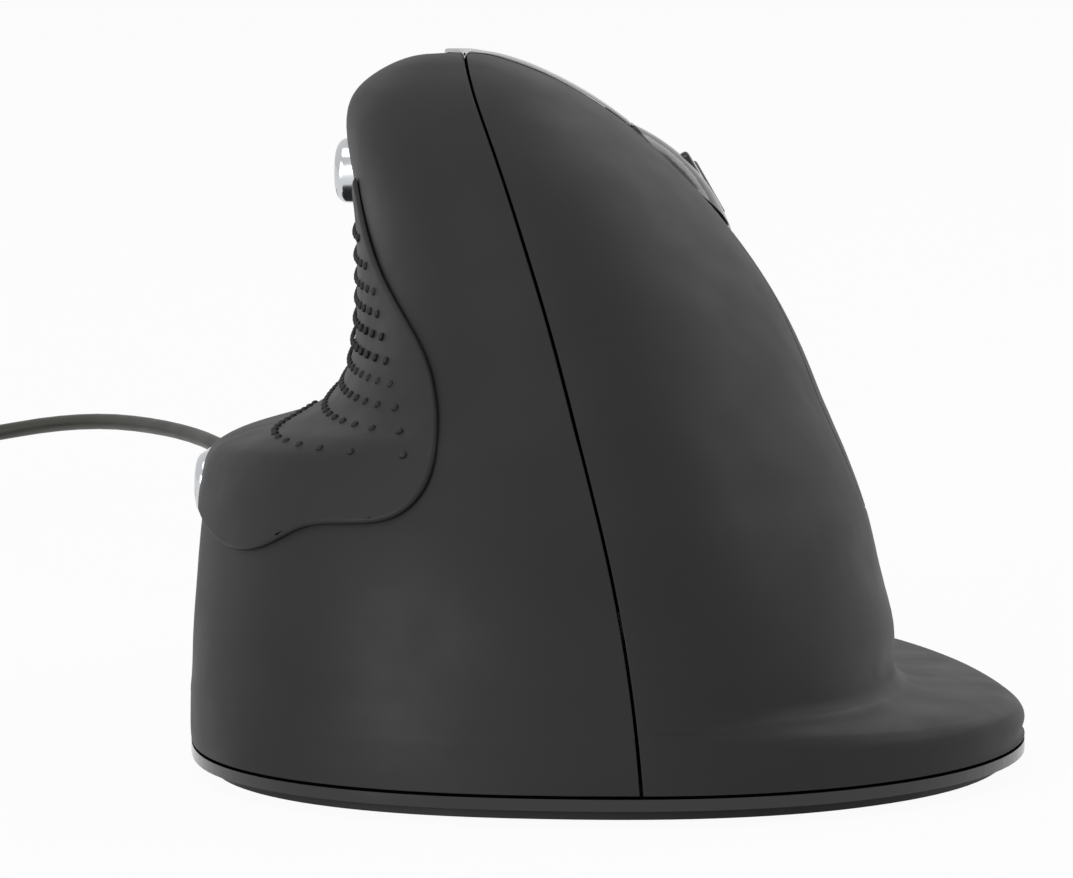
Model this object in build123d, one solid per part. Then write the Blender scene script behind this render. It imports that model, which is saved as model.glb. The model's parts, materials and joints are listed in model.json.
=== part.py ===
from build123d import *
from math import atan2, cos, degrees, pi, radians, sin, tan
import os

# A right-handed upright mouse, in millimetres.
# +Z is up, +Y is the nose (away from the user), +X is the user's right.
# The origin is on the desk, under the middle of the mouse itself.

# Overall sizes

body_length = 119.0
body_width = 84.4
body_top = 70.6
shell_foot = 3.2
shell_wall = 2.2
seam_gap = 0.3
seat_gap = 0.15
button_seam_room = 0.8
key_gap = 0.35
cut_over = 4.0
form_points = 24

half_length = body_length / 2
half_width = body_width / 2
body_rise = body_top - shell_foot

# Form of the body: at each level the reach to the left, to the right, to the
# rear and to the front, and the place of the ridge that carries the main seam

level_share = (0, 0.02, 0.04, 0.053, 0.064, 0.074, 0.089, 0.13, 0.22, 0.31, 0.377, 0.418,
               0.442, 0.46, 0.487, 0.531, 0.635, 0.754, 0.828, 0.887, 0.932, 0.967, 0.99, 1)
left_share = (-1, -1.002, -1.002, -1.002, -1.002, -1.002, -1, -0.998, -0.99, -0.979, -0.964, -0.934,
              -0.84, -0.735, -0.66, -0.614, -0.595, -0.604, -0.626, -0.64, -0.626, -0.569, -0.488, -0.37)
right_share = (1, 0.998, 0.99, 0.957, 0.82, 0.716, 0.692, 0.687, 0.663, 0.63, 0.595, 0.569,
               0.552, 0.54, 0.521, 0.493, 0.412, 0.275, 0.164, 0.057, -0.047, -0.156, -0.26, -0.35)
ridge_share = (0.07, 0.066, 0.062, 0.057, 0.055, 0.054, 0.052, 0.043, 0.024, -0.005, -0.031, -0.047,
               -0.057, -0.064, -0.076, -0.095, -0.142, -0.204, -0.246, -0.282, -0.308, -0.332, -0.348, -0.36)
rear_share = (-1, -0.998, -0.995, -0.993, -0.99, -0.988, -0.985, -0.978, -0.955, -0.918, -0.879, -0.854,
              -0.839, -0.827, -0.807, -0.77, -0.669, -0.533, -0.43, -0.331, -0.242, -0.155, -0.071, 0.075)
front_share = (1, 0.998, 0.997, 0.995, 0.992, 0.99, 0.988, 0.985, 0.971, 0.951, 0.929, 0.916,
               0.908, 0.901, 0.889, 0.867, 0.807, 0.711, 0.632, 0.548, 0.467, 0.378, 0.286, 0.11)
crown_level_shares = (0.99, 0.995, 0.999)
widest_foot_share = -0.336
widest_climb_share = 0.429
widest_power = 1.3
nose_drop_slope = 0.07
nose_drop_level_share = 0.12
ledge_root_share = 0.69
round_power = 2.0
thumb_power = 2.5
nose_power = 2.2
ledge_power = 1.55

# Thumb pad

overlay_stand = 0.6
overlay_glue = 0.05
pad_corner = 6.0
pad_rear_x_shares = (-1.1, -0.957, -0.915, -0.86, -0.787, -0.716, -0.6, -0.5, -0.435, -0.405,
                     -0.41, -0.441, -0.495, -0.555, -0.597, -0.62)
pad_rear_z_shares = (0.375, 0.358, 0.346, 0.346, 0.365, 0.389, 0.4, 0.413, 0.448, 0.505,
                     0.564, 0.619, 0.666, 0.717, 0.776, 0.84)
pad_side_y_shares = (-1.1, -0.47, -0.1, 0.44, 0.62, 0.6, 0.5, 0.07, -0.14, -1.1)
pad_side_z_shares = (0.2, 0.345, 0.437, 0.4, 0.5, 0.65, 0.755, 0.757, 0.815, 1.1)

# Top trim strip

trim_tail_y = -6.0
trim_cross_y = 1.2
trim_cross_width = 3.0
trim_cross_reach = 18.0
trim_tail_width = 1.2
trim_half_width = 2.2
trim_nose_y = 44.0

# Finger side: one slanted plane carries the console, the buttons and the wheel

finger_x = 7.5
finger_z = 58.5
finger_slant = 30.0
finger_dip = 12.0
console_half_width = 7.3
console_rear = -2.0
console_front = 43.0
console_crown = 1.5
console_edge = 0.3
console_wall = 1.6
console_skirt = 1.6
console_post = 1.4
console_post_inset = 3.4
console_corner = 4.5
index_rear = 1.0
index_front = 31.0
index_height = 9.3
index_corner = 3.0
middle_side_u_shares = (0.93, -0.08, -0.3, -0.295, 1.02)
middle_side_v_shares = (0, 0, 0.52, 0.84, 0.6)
middle_length = 43.0
middle_height = 40.0
middle_corner = 4.0

# Wheel

wheel_u = 24.0
wheel_radius = 10.0
wheel_width = 7.0
wheel_proud = 2.5
wheel_rim = 1.8
wheel_ribs = 20
wheel_rib_depth = 0.5
wheel_rib_width = 1.0
hub_recess = 1.2
hub_rim = 1.6
hub_boss = 2.6
axle_radius = 1.0
axle_play = 0.05
carrier_half_width = 5.4
carrier_wall = 1.3
carrier_rear = 10.0
carrier_front = 38.0
carrier_bar = 2.5
carrier_depth = 12.75
carrier_height = 2.5
carrier_ear = 1.25
press_travel = 0.5
encoder_width = 4.5
encoder_length = 7.0
encoder_height = 7.8

# Finger frame and its board

frame_depth = 16.5
frame_wall = 2.0
frame_rear = -9.0
frame_front = 37.0
frame_top = 15.5
frame_foot = -32.0
frame_leg = 5.0
frame_leg_x = 3.5
frame_leg_z = 29.0
frame_inset = 2.8
frame_leg_us = (2.0, 31.0)
board_wall = 1.2
board_inset = 3.0
window_play = 1.6
hinge_radius = 1.2
hinge_ear = 1.3
hinge_web = 2.4
index_hinge_u = 5.0
index_hinge_v = 11.0
index_hinge_depth = 11.8
middle_hinge_u = -5.0
middle_hinge_v = -21.0
middle_hinge_depth = 6.5
switch_length = 12.8
switch_width = 5.8
switch_height = 4.4
plunger_radius = 0.8
plunger_height = 0.5
plunger_gap = 0.1
post_radius = 1.8
index_switch_u = 15.5
index_switch_v = 10.5
middle_switch_u = 24.0
index_press = 1.5
middle_press = 0.8
tact_side = 4.5
tact_height = 1.4
tact_stem = 1.2
tact_stem_out = 0.8
tact_stem_in = 0.9
stem_travel = 0.25
stem_play = 0.1

# Speed button in the console

speed_u = 6.4
speed_length = 5.0
speed_width = 4.2
speed_stand = 0.3
speed_stem = 1.2
speed_flange = 0.8
speed_corner = 1.0
speed_round = 0.4
speed_travel = 0.4

# Thumb keys: two long plated keys, above and below the thumb

key_length = 24.0
key_height = 6.8
key_stand = 1.2
key_round = 1.1
key_flange = 0.6
key_flange_depth = 3.6
key_travel = 0.6
key_nib = 1.5
key_nib_length = 0.8
upper_key_y = 12.0
upper_key_z = 57.4
upper_key_turn = 10.0
upper_key_dip = 4.0
lower_key_y = 4.0
lower_key_z = 25.8
lower_key_turn = 6.0
lower_key_dip = 1.0
lower_key_stand = 2.0
key_board_length = 32.0
key_board_height = 5.0
key_board_wall = 1.0
key_post = 1.3
key_corner_share = 0.45

# Base, band and feet

glide_wall = 0.6
base_edge = 1.75
band_top = 2.9
tier_inset = 2.0
band_hole_inset = 3.4
lip_wall = 1.4
lip_height = 2.0
lip_inset = 4.2
glide_length = 16.0
glide_width = 6.0
glide_corner = 2.9
glide_xs = (-22.0, 20.0, -14.0, 8.0)
glide_ys = (-42.0, -42.0, 40.0, 40.0)
screw_xs = (-32.0, 21.0, -23.0, 11.0)
screw_ys = (-31.0, -32.0, 34.0, 33.0)
place_names = ("rear_left", "rear_right", "front_left", "front_right")
screw_head_radius = 2.4
screw_head = 1.4
screw_radius = 1.25
screw_length = 8.0
boss_radius = 3.2
boss_height = 10.0
boss_web = 1.8
boss_reach = 14.0

# Main board and what it carries

board_z = 8.0
board_x = -15.0
board_y = 1.0
board_length = 50.0
board_width = 34.0
board_corner = 3.0
board_post_radius = 2.6
board_screw_radius = 1.0
board_screw_head = 2.0
board_screw_rise = 1.2
board_screw_length = 4.0
board_post_inset = 4.5
sensor_x = -18.0
sensor_y = 8.0
sensor_length = 12.0
sensor_width = 9.0
sensor_height = 2.8
lens_length = 16.0
lens_width = 12.0
lens_spigot = 3.8
lens_spigot_low = 1.2
lens_bore = 2.0
led_radius = 1.5
led_height = 4.0
led_x = -18.0
led_y = 17.5
chip_side = 9.0
chip_height = 1.5
chip_x = -13.0
chip_y = -8.0
socket_length = 8.0
socket_width = 5.0
socket_height = 5.0
cord_socket_x = -8.0
cord_socket_y = 22.0
finger_socket_x = -3.0
finger_socket_y = 8.0
thumb_socket_x = -25.0
thumb_socket_y = -16.0
lead_radius = 0.7
lead_socket = 3.0
lead_run = 8.0
lead_u = 9.5

# Cable

cord_radius = 1.0
cord_sides = 8
coil_sides = 6
lead_sides = 6
cord_exit_x = 1.8
cord_exit_z = 11.5
relief_length = 14.0
relief_radius = 2.3
relief_flange_radius = 3.8
relief_flange = 1.6
relief_setback = 6.8
relief_ring_radius = 3.2
relief_end_radius = 1.5
cord_length = 1500.0
coil_inner_radius = 6.2
coil_pitch = 2.9
coil_layer = 2.75
coil_half_turns = 8
coil_layers = 4
coil_x = -100.0
coil_y = 150.0
free_xs = (1.8, -18.0, -43.0, -51.5, -66.0)
free_ys = (84.0, 98.0, 112.0, 137.0, 158.5)
free_zs = (11.6, 12.4, 14.6, 15.2, 14.2)
free_lead_in = 14.0
tail_run = 9.0
inside_run = 12.0
cord_inside_z = 12.6
cord_bend_share = 0.45
plug_length = 22.0
plug_width = 15.0
plug_height = 7.6
plug_round = 2.0
plug_taper = 5.0
plug_shell_length = 12.0
plug_shell_width = 12.0
plug_shell_height = 4.5
plug_shell_wall = 0.4
plug_core_height = 1.8
tie_wall = 0.5
tie_width = 4.0


def smooth_value(shares, level):
    """Even interpolation of a table over the levels, without overshoot."""
    slopes = []
    for low, high, before, after in zip(level_share, level_share[1:], shares, shares[1:]):
        slopes.append((after - before) / (high - low))
    tangents = [slopes[0]]
    for before, after in zip(slopes, slopes[1:]):
        tangents.append(2 * before * after / (before + after) if before * after > 0 else 0)
    tangents.append(slopes[-1])
    place = max(k for k in range(len(slopes)) if level_share[k] <= level)
    span = level_share[place + 1] - level_share[place]
    t = (level - level_share[place]) / span
    value = (1 + 2 * t) * (1 - t) ** 2 * shares[place] + t * t * (3 - 2 * t) * shares[place + 1]
    value += t * (1 - t) * span * ((1 - t) * tangents[place] - t * tangents[place + 1])
    return value


def eased(value):
    value = min(max(value, 0), 1)
    return value * value * (3 - 2 * value)


def outline_at(level, inset, hollow):
    """Ridge, reaches, widest place, forward slope and nose power of a level."""
    ridge = half_width * smooth_value(ridge_share, level)
    left = half_width * smooth_value(left_share, level) + inset
    right = half_width * smooth_value(right_share, level) - inset
    if hollow:
        right = min(right, half_width * ledge_root_share - inset)
    rear = half_length * smooth_value(rear_share, level) + inset
    front = half_length * smooth_value(front_share, level) - inset
    middle = half_length * (widest_foot_share + widest_climb_share * level ** widest_power)
    slope = -nose_drop_slope * min(level / nose_drop_level_share, 1)
    nose = ledge_power + (nose_power - ledge_power) * eased(level / nose_drop_level_share)
    return ridge, left, right, rear, front, middle, slope, nose


def quadrant(across, along, outline):
    """Reaches and roundness of the quarter of an outline that a direction lies in."""
    ridge, left, right, rear, front, middle, slope, nose = outline
    reach_x = right - ridge if across > 0 else left - ridge
    reach_y = front - middle if along > 0 else rear - middle
    if along > 0:
        return reach_x, reach_y, nose if across > 0 else nose_power
    return reach_x, reach_y, round_power if across > 0 else thumb_power


def ring_points(level, inset, hollow):
    """Evenly spaced points of the body's outline at a level, drawn in by an inset."""
    outline = outline_at(level, inset, hollow)
    ridge, middle, slope = outline[0], outline[5], outline[6]
    height = shell_foot + (body_rise - inset) * level
    fine = []
    fine_count = 30 * form_points
    for k in range(fine_count):
        angle = 2 * pi * k / fine_count - pi / 4
        across, along = cos(angle), sin(angle)
        reach_x, reach_y, power = quadrant(across, along, outline)
        shift_x = reach_x * abs(across) ** (2 / power)
        shift_y = reach_y * abs(along) ** (2 / power)
        fine.append(Vector(ridge + shift_x, middle + shift_y, height + slope * shift_y))
    run = [0]
    for here, there in zip(fine, fine[1:] + fine[:1]):
        run.append(run[-1] + (there - here).length)
    points = []
    for k in range(form_points):
        goal = run[-1] * k / form_points
        points.append(next(p for p, r in zip(fine, run[1:]) if r > goal))
    return points


def is_inside(point, inset=0, hollow=False):
    """Whether a point lies inside the body's form."""
    level = min(max((point.Z - shell_foot) / body_rise, 0), 1)
    for turn in range(8):
        outline = outline_at(level, inset, hollow)
        middle, slope = outline[5], outline[6]
        level = (point.Z - slope * (point.Y - middle) - shell_foot) / (body_rise - inset)
        if not 0 <= level < 1:
            return False
    outline = outline_at(level, inset, hollow)
    shift_x, shift_y = point.X - outline[0], point.Y - outline[5]
    reach_x, reach_y, power = quadrant(shift_x, shift_y, outline)
    if reach_x * shift_x <= 0 or reach_y * shift_y <= 0:
        return shift_x * shift_y == 0
    return (shift_x / reach_x) ** power + (shift_y / reach_y) ** power < 1


def skin_distance(start, direction, inset=0, hollow=False):
    """How far a point inside the body lies from the skin in a direction."""
    near, far = 0, body_length
    while far - near > seat_gap / 100:
        half = (near + far) / 2
        if is_inside(start + direction * half, inset, hollow):
            near = half
        else:
            far = half
    return near


def body_form(inset, hollow=True):
    """Solid of the body's form, drawn in by an inset, or grown by a negative one."""
    levels = [level for level in level_share if level < crown_level_shares[0]] + list(crown_level_shares)
    wires = []
    for level in levels:
        edge = Edge.make_spline(ring_points(level, inset, hollow), periodic=True)
        wires.append(Wire([edge]))
    return Solid.make_loft(wires)


def foot_face(inset, height, hollow=False):
    """Flat face of the body's lowest outline, drawn in by an inset, at a height."""
    points = [Vector(p.X, p.Y, height) for p in ring_points(0, inset, hollow)]
    return Face(Wire([Edge.make_spline(points, periodic=True)]))


def slab(face, low, high):
    """Upright slab of a face drawn at height zero."""
    return extrude(Pos(0, 0, low) * face, amount=high - low, dir=(0, 0, 1))


def box(x_from, x_to, y_from, y_to, z_from, z_to):
    middle = ((x_from + x_to) / 2, (y_from + y_to) / 2, (z_from + z_to) / 2)
    return Pos(*middle) * Box(abs(x_to - x_from), abs(y_to - y_from), abs(z_to - z_from))


def rod(plane, u, v, low, high, radius):
    """Cylinder that stands on a plane, from one height over it to another."""
    return plane * Pos(u, v, (low + high) / 2) * Cylinder(radius, high - low)


def block(plane, u_from, u_to, v_from, v_to, low, high):
    """Box that stands on a plane."""
    return plane * box(u_from, u_to, v_from, v_to, low, high)


def prism(face, depth):
    """Cutter: a face pushed both ways along its normal."""
    return extrude(face, amount=depth, both=True)


def one_solid(shape):
    """The largest solid of a result, without slivers."""
    return max(shape.solids(), key=lambda solid: solid.volume)


# Body forms

skin = body_form(0, hollow=False)
cavity = body_form(shell_wall)
bedding = body_form(-overlay_glue, hollow=False)
grown = body_form(-overlay_stand, hollow=False)


def seam_side(shift):
    """Everything on the thumb's side of the main seam, moved sideways by a shift."""
    points = [Vector(half_width * ridge_share[0] + shift, 0, shell_foot - cut_over)]
    for level in (0.089, 0.31, 0.487, 0.635, 0.754, 0.887, 0.967):
        x = half_width * smooth_value(ridge_share, level) + shift
        points.append(Vector(x, 0, shell_foot + body_rise * level))
    points.append(Vector(half_width * ridge_share[-1] + shift, 0, body_top + cut_over))
    far_x = -half_width - cut_over
    seam = Edge.make_spline(points)
    rest = Polyline(points[-1], (far_x, 0, body_top + cut_over), (far_x, 0, shell_foot - cut_over), points[0])
    return prism(Face(Wire([seam] + rest.edges())), body_length)


finger_out = Vector(cos(radians(finger_slant)), 0, sin(radians(finger_slant)))
finger_up = Vector(-sin(radians(finger_slant)), 0, cos(radians(finger_slant)))
finger_along = Vector(0, cos(radians(finger_dip)), 0) - finger_up * sin(radians(finger_dip))
finger_plane = Plane(origin=(finger_x, 0, finger_z), x_dir=finger_along, z_dir=finger_out)


def skin_height(u, v):
    """Height of the body's skin over the finger plane."""
    start = finger_plane.from_local_coords(Vector(u, v, -frame_depth))
    return skin_distance(start, finger_out) - frame_depth



def finger_prism(points, corner, grow=0):
    """Region of the finger side, from its outline on the finger plane."""
    outline = FilletPolyline(points, radius=corner, close=True)
    face = Face(Wire(outline.edges()))
    if grow:
        face = offset(face, amount=grow, kind=Kind.ARC)
    return prism(finger_plane * face, body_width)


def console_region(grow=0):
    side, rear = console_half_width, console_rear
    points = [(rear, -side), (console_front, -side), (console_front, side), (rear, side)]
    return finger_prism(points, console_corner, grow)


def index_region(grow=0):
    low = console_half_width + key_gap
    high = low + index_height
    points = [(index_rear, low), (index_front + index_corner, low), (index_front, high), (index_rear, high)]
    return finger_prism(points, index_corner, grow)


def middle_region(grow=0):
    top = -console_half_width - key_gap
    points = []
    for u_share, v_share in zip(middle_side_u_shares, middle_side_v_shares):
        points.append((middle_length * u_share, top - middle_height * v_share))
    return finger_prism(points, middle_corner, grow)


def pad_region(grow=0):
    """Region of the thumb pad: its rear seam and its side outline."""
    rear_points = []
    for x_share, z_share in zip(pad_rear_x_shares, pad_rear_z_shares):
        rear_points.append(Vector(half_width * x_share, 0, body_top * z_share))
    seam = Edge.make_spline(rear_points)
    corner = (rear_points[0].X, 0, rear_points[-1].Z)
    rest = Polyline(rear_points[-1], corner, rear_points[0])
    rear_face = Face(Wire([seam] + rest.edges()))
    side_points = []
    for y_share, z_share in zip(pad_side_y_shares, pad_side_z_shares):
        side_points.append((half_length * y_share, body_top * z_share))
    side_face = Face(Wire(FilletPolyline(side_points, radius=pad_corner, close=True).edges()))
    if grow:
        rear_face = offset(rear_face, amount=grow, kind=Kind.ARC)
        side_face = offset(side_face, amount=grow, kind=Kind.ARC)
    left_half = box(-body_width, 0, -body_length, body_length, 0, body_top + cut_over)
    return prism(rear_face, body_length) & prism(Plane.YZ * side_face, body_width) & left_half


def trim_region(grow=0):
    """Region of the strip on the top: a short tail, a cross bar and a long nose."""
    ridge_x = half_width * ridge_share[-2]
    nose_x = half_width * ridge_share[17]
    cross_end = trim_cross_y + trim_cross_width
    tail = trim_tail_width / 2
    points = [
        (ridge_x - trim_half_width, cross_end),
        (ridge_x - tail, trim_cross_y - seam_gap),
        (ridge_x, trim_tail_y),
        (ridge_x + tail, trim_cross_y - seam_gap),
        (ridge_x + trim_cross_reach, trim_cross_y),
        (ridge_x + trim_cross_reach, cross_end),
        (ridge_x + trim_half_width, cross_end),
        (nose_x + trim_half_width / 2, trim_nose_y),
        (nose_x - trim_half_width / 2, trim_nose_y),
    ]
    face = Face(Wire(Polyline(points, close=True).edges()))
    if grow:
        face = offset(face, amount=grow, kind=Kind.ARC)
    return extrude(face, amount=body_top + cut_over, dir=(0, 0, 1)) - box(
        -body_width, body_width, -body_length, body_length, 0, body_top / 2)


def key_plane(y, z, turn, dip):
    """Plane on the thumb side's skin, facing left, a little forward and level with the nose's drop."""
    out = Vector(-cos(radians(turn)), sin(radians(turn)), 0)
    along = Vector(-sin(radians(turn)), -cos(radians(turn)), 0) * cos(radians(dip))
    along += Vector(0, 0, sin(radians(dip)))
    inside = Vector(half_width * ridge_share[17], y, z)
    reach = skin_distance(inside, out)
    return Plane(origin=inside + out * reach, x_dir=along, z_dir=out)


upper_plane = key_plane(upper_key_y, upper_key_z, upper_key_turn, upper_key_dip)
lower_plane = key_plane(lower_key_y, lower_key_z, lower_key_turn, lower_key_dip)


def key_prism(plane, low, high, grow):
    face = RectangleRounded(key_length + 2 * grow, key_height + 2 * grow, key_height * key_corner_share + grow)
    return plane * extrude(Pos(0, 0, low) * face, amount=high - low)


def thumb_key(plane, stand):
    """Plated key: a round-edged bar, its stem through the shell, a flange and a nib."""
    bar = RectangleRounded(key_length, key_height, key_height * key_corner_share)
    cap = extrude(Pos(0, 0, -key_flange_depth) * bar, amount=key_flange_depth + stand)
    cap = fillet(cap.faces().sort_by(Axis.Z)[-1].edges(), key_round)
    flange_low = -key_flange_depth - key_flange
    flange_half = key_length / 2 + key_flange
    flange_high = key_height / 2 + key_flange
    flange = box(-flange_half, flange_half, -flange_high, 0, flange_low, -key_flange_depth)
    nib = rod(Plane.XY, 0, 0, flange_low - key_nib_length, flange_low, key_nib)
    return plane * (cap + flange + nib)


def tact(plane, u, v, low):
    """Small push switch on a board: its body and its stem."""
    half = tact_side / 2
    top = low + tact_height
    body = block(plane, u - half, u + half, v - half, v + half, low, top)
    body = body - rod(plane, u, v, top - tact_stem_in - stem_travel - stem_play, top, tact_stem + stem_play)
    stem = rod(plane, u, v, top - tact_stem_in, top + tact_stem_out, tact_stem)
    return body, stem


def key_low():
    """Height, under the skin, of the board behind a thumb key."""
    nib_low = key_flange_depth + key_flange + key_nib_length
    gap = key_travel - stem_travel + plunger_gap
    return -nib_low - gap - tact_stem_out - tact_height


def key_board(plane, low):
    """Small board behind a thumb key, with the socket of its lead."""
    half = key_board_length / 2
    high = key_board_height / 2
    board = block(plane, -half, half, -high, high, low - key_board_wall, low)
    socket_low = low - key_board_wall - lead_socket
    return board + block(plane, tact_side, tact_side + socket_length, -high / 2, high / 2, socket_low, low)


def key_posts(plane):
    """Posts of the shell that a thumb key's board sits on, rooted in its wall."""
    place = key_board_length / 2 - key_post
    posts = []
    for u in (-place, place):
        start = plane.from_local_coords(Vector(u, 0, board_low))
        high = board_low + skin_distance(start, plane.z_dir, shell_wall / 2)
        posts.append(rod(plane, u, 0, board_low, high, key_post))
    return posts


key_room_low = -key_flange_depth - key_flange - key_travel - key_gap


def key_pocket(plane):
    """Room behind the shell's wall for a thumb key's flange, pressed or not."""
    half = key_length / 2 + key_flange + key_gap
    high = key_height / 2 + key_flange + key_gap
    return block(plane, -half, half, -high, key_gap, key_room_low, -key_flange_depth + seam_gap)


# Shells

thumb_region = seam_side(-seam_gap / 2)
palm_cutter = seam_side(seam_gap / 2)
button_cutter = seam_side(seam_gap / 2 + button_seam_room)
pad_cutter = pad_region()
index_cutter = index_region()
index_pocket = index_region(key_gap)
middle_cutter = middle_region()
middle_pocket = middle_region(key_gap)
console_cutter = console_region()
console_pocket = console_region(seat_gap)


def screw_boss(x, y):
    """Boss for a base screw, with a web that reaches into the shell's wall."""
    low, high = band_top, band_top + boss_height
    out = Vector(x, y - half_length * widest_foot_share, 0).normalized()
    boss = Pos(x, y, (low + high) / 2) * Cylinder(boss_radius, high - low)
    reach = skin_distance(Vector(x, y, high), out, shell_wall / 2, True)
    web = box(0, reach, -boss_web / 2, boss_web / 2, band_top + lip_height + key_gap, high)
    return boss + Pos(x, y, 0) * Rot(0, 0, degrees(atan2(out.Y, out.X))) * web


def screw_bore(x, y):
    low, high = band_top, band_top + boss_height
    return Pos(x, y, (low + high) / 2) * Cylinder(screw_radius + axle_play, high - low)


def bosses(side):
    """The bored screw bosses of the thumb's side (negative) or of the palm's side."""
    places = [(x, y) for x, y in zip(screw_xs, screw_ys) if x * side > 0]
    return [screw_boss(x, y) - screw_bore(x, y) for x, y in places]


board_low = key_low()
relief_hole = Pos(cord_exit_x, half_length, cord_exit_z) * Rot(90, 0, 0) * Cylinder(
    relief_radius + seat_gap, relief_length)


def key_cutter(plane, stand):
    """Everything that a thumb key needs cut from the shell."""
    return key_prism(plane, key_room_low, stand, key_gap) + key_pocket(plane)


def thumb_shell():
    shell = (skin & thumb_region) - cavity
    shell = shell + (bosses(-1) + key_posts(upper_plane) + key_posts(lower_plane))
    upper_cutter = key_cutter(upper_plane, key_stand)
    lower_cutter = key_cutter(lower_plane, lower_key_stand)
    return one_solid(shell - [upper_cutter, lower_cutter, relief_hole])


def palm_shell():
    shell = ((skin - palm_cutter) - cavity) + bosses(1)
    return one_solid(shell - [index_pocket + middle_pocket + console_pocket, relief_hole])


def thumb_pad():
    region = pad_cutter
    for plane in (upper_plane, lower_plane):
        region = region - key_prism(plane, -key_flange_depth, lower_key_stand, key_gap)
    return one_solid((grown & region) - bedding)


def top_trim():
    region = trim_region() - index_pocket - console_pocket
    return one_solid((grown & region) - bedding)


# Finger buttons, each with the hinge bar it turns on and the post that meets its switch

def hinge_parts(u, v, depth):
    """Bar of a button's hinge and the web that carries it, up to the button's wall."""
    bar_half = hinge_web / 2 + 2 * hinge_ear
    bar = lying_rod(u, v, -depth, hinge_radius, 2 * bar_half)
    top = skin_height(u, v) - shell_wall / 2
    half = hinge_web / 2
    web = block(finger_plane, u - hinge_radius, u + hinge_radius, v - half, v + half, -depth, top)
    return bar + web


def lying_rod(u, v, w, radius, length):
    """Cylinder along the hinge and wheel axes, in the finger plane's own coordinates."""
    return finger_plane * Pos(u, v, w) * Rot(90, 0, 0) * Cylinder(radius, length)


def hinge_ears(u, v, depth):
    """Two ears of the finger frame that a button's hinge bar turns in."""
    reach = hinge_radius + hinge_ear
    inner = hinge_web / 2 + seam_gap
    outer = inner + hinge_ear
    low, high = -frame_depth, -depth
    ears = block(finger_plane, u - reach, u + reach, v + inner, v + outer, low, high)
    ears = ears + block(finger_plane, u - reach, u + reach, v - outer, v - inner, low, high)
    for side in (1, -1):
        ears = ears + lying_rod(u, v + side * (inner + outer) / 2, -depth, reach, hinge_ear)
    return ears - lying_rod(u, v, -depth, hinge_radius + axle_play, 2 * outer + hinge_ear)


def ear_window(u, v):
    """Window of the finger board around a pair of ears."""
    reach = hinge_radius + hinge_ear + seam_gap
    side = hinge_web / 2 + hinge_ear + 2 * seam_gap
    low = -frame_depth
    return block(finger_plane, u - reach, u + reach, v - side, v + side, low, low + board_wall)


def switch_post(u, v):
    """Post under a button that ends just over its switch's plunger."""
    low = -frame_depth + board_wall + switch_height + plunger_height + plunger_gap
    return rod(finger_plane, u, v, low, skin_height(u, v) - shell_wall / 2, post_radius)


def finger_button(cutter, hinge, switch_u, v):
    button = ((skin - button_cutter) & cutter) - cavity
    return one_solid(button + hinge_parts(*hinge) + switch_post(switch_u, v))


def click_switch(u, v):
    """Switch of a finger button: its case and its plunger."""
    low = -frame_depth + board_wall
    top = low + switch_height
    case = block(finger_plane, u - switch_length / 2, u + switch_length / 2,
                 v - switch_width / 2, v + switch_width / 2, low, top)
    case = case - rod(finger_plane, u, v, top - 3 * plunger_height, top, plunger_radius + stem_play)
    plunger = rod(finger_plane, u, v, top - plunger_height, top + plunger_height, plunger_radius)
    return case, plunger


index_hinge = (index_hinge_u, index_hinge_v, index_hinge_depth)
middle_hinge = (middle_hinge_u, middle_hinge_v, middle_hinge_depth)


# Console: a crowned cover between the buttons, with the wheel's slot

def console_section(u, shift, skirt):
    """Closed outline across the console at a place along it."""
    rise = eased((u - console_rear) / console_corner)
    edge_low = skin_height(u, -console_half_width) + console_edge * rise - shift
    edge_high = skin_height(u, console_half_width) + console_edge * rise - shift
    crown = skin_height(u, 0) + console_crown * rise - shift
    half = console_half_width
    top = Edge.make_three_point_arc((u, -half, edge_low), (u, 0, crown), (u, half, edge_high))
    base = edge_high - skirt
    rest = Polyline((u, half, edge_high), (u, half, base), (u, -half, base), (u, -half, edge_low))
    return Wire([top] + rest.edges())


def console_block(shift, skirt):
    """Console's outer form, moved inward by a shift."""
    steps = 9
    length = console_front - console_rear
    wires = []
    for k in range(steps):
        wires.append(console_section(console_rear + length * k / (steps - 1), shift, skirt))
    return finger_plane * Solid.make_loft(wires)


def wheel_slot(depth):
    """Cutter for a window around the wheel, at a depth under the finger plane."""
    chord = (wheel_radius ** 2 - (depth - wheel_depth) ** 2) ** 0.5
    half_u = chord + window_play
    half_v = wheel_width / 2 + window_play
    low = -wheel_depth - wheel_radius - window_play
    return block(finger_plane, wheel_u - half_u, wheel_u + half_u, -half_v, half_v, low, -wheel_depth)


def speed_prism(low, high, grow):
    face = RectangleRounded(speed_length + 2 * grow, speed_width + 2 * grow, speed_corner + grow)
    return finger_plane * Pos(speed_u, 0, 0) * extrude(Pos(0, 0, low) * face, amount=high - low)


def console_cover():
    rear, front = console_rear + console_wall, console_front - console_wall
    side = console_half_width - console_wall
    points = [(rear, -side), (front, -side), (front, side), (rear, side)]
    inner = finger_prism(points, console_corner - console_wall)
    cover = console_block(0, console_skirt) & console_cutter
    cover = cover - (console_block(console_wall, frame_depth) & inner)
    half_slot = wheel_width / 2 + key_gap
    slot_reach = wheel_radius + seam_gap
    cover = cover - block(finger_plane, wheel_u - slot_reach, wheel_u + slot_reach, -half_slot, half_slot,
                          -frame_depth, wheel_radius)
    cover = cover - speed_prism(-frame_depth, wheel_radius, key_gap)
    post_low = -frame_depth + board_wall
    for u, v in console_post_places:
        top = skin_height(u, v) - console_wall / 2
        cover = cover + rod(finger_plane, u, v, post_low, top, console_post)
    return one_solid(cover)


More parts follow.
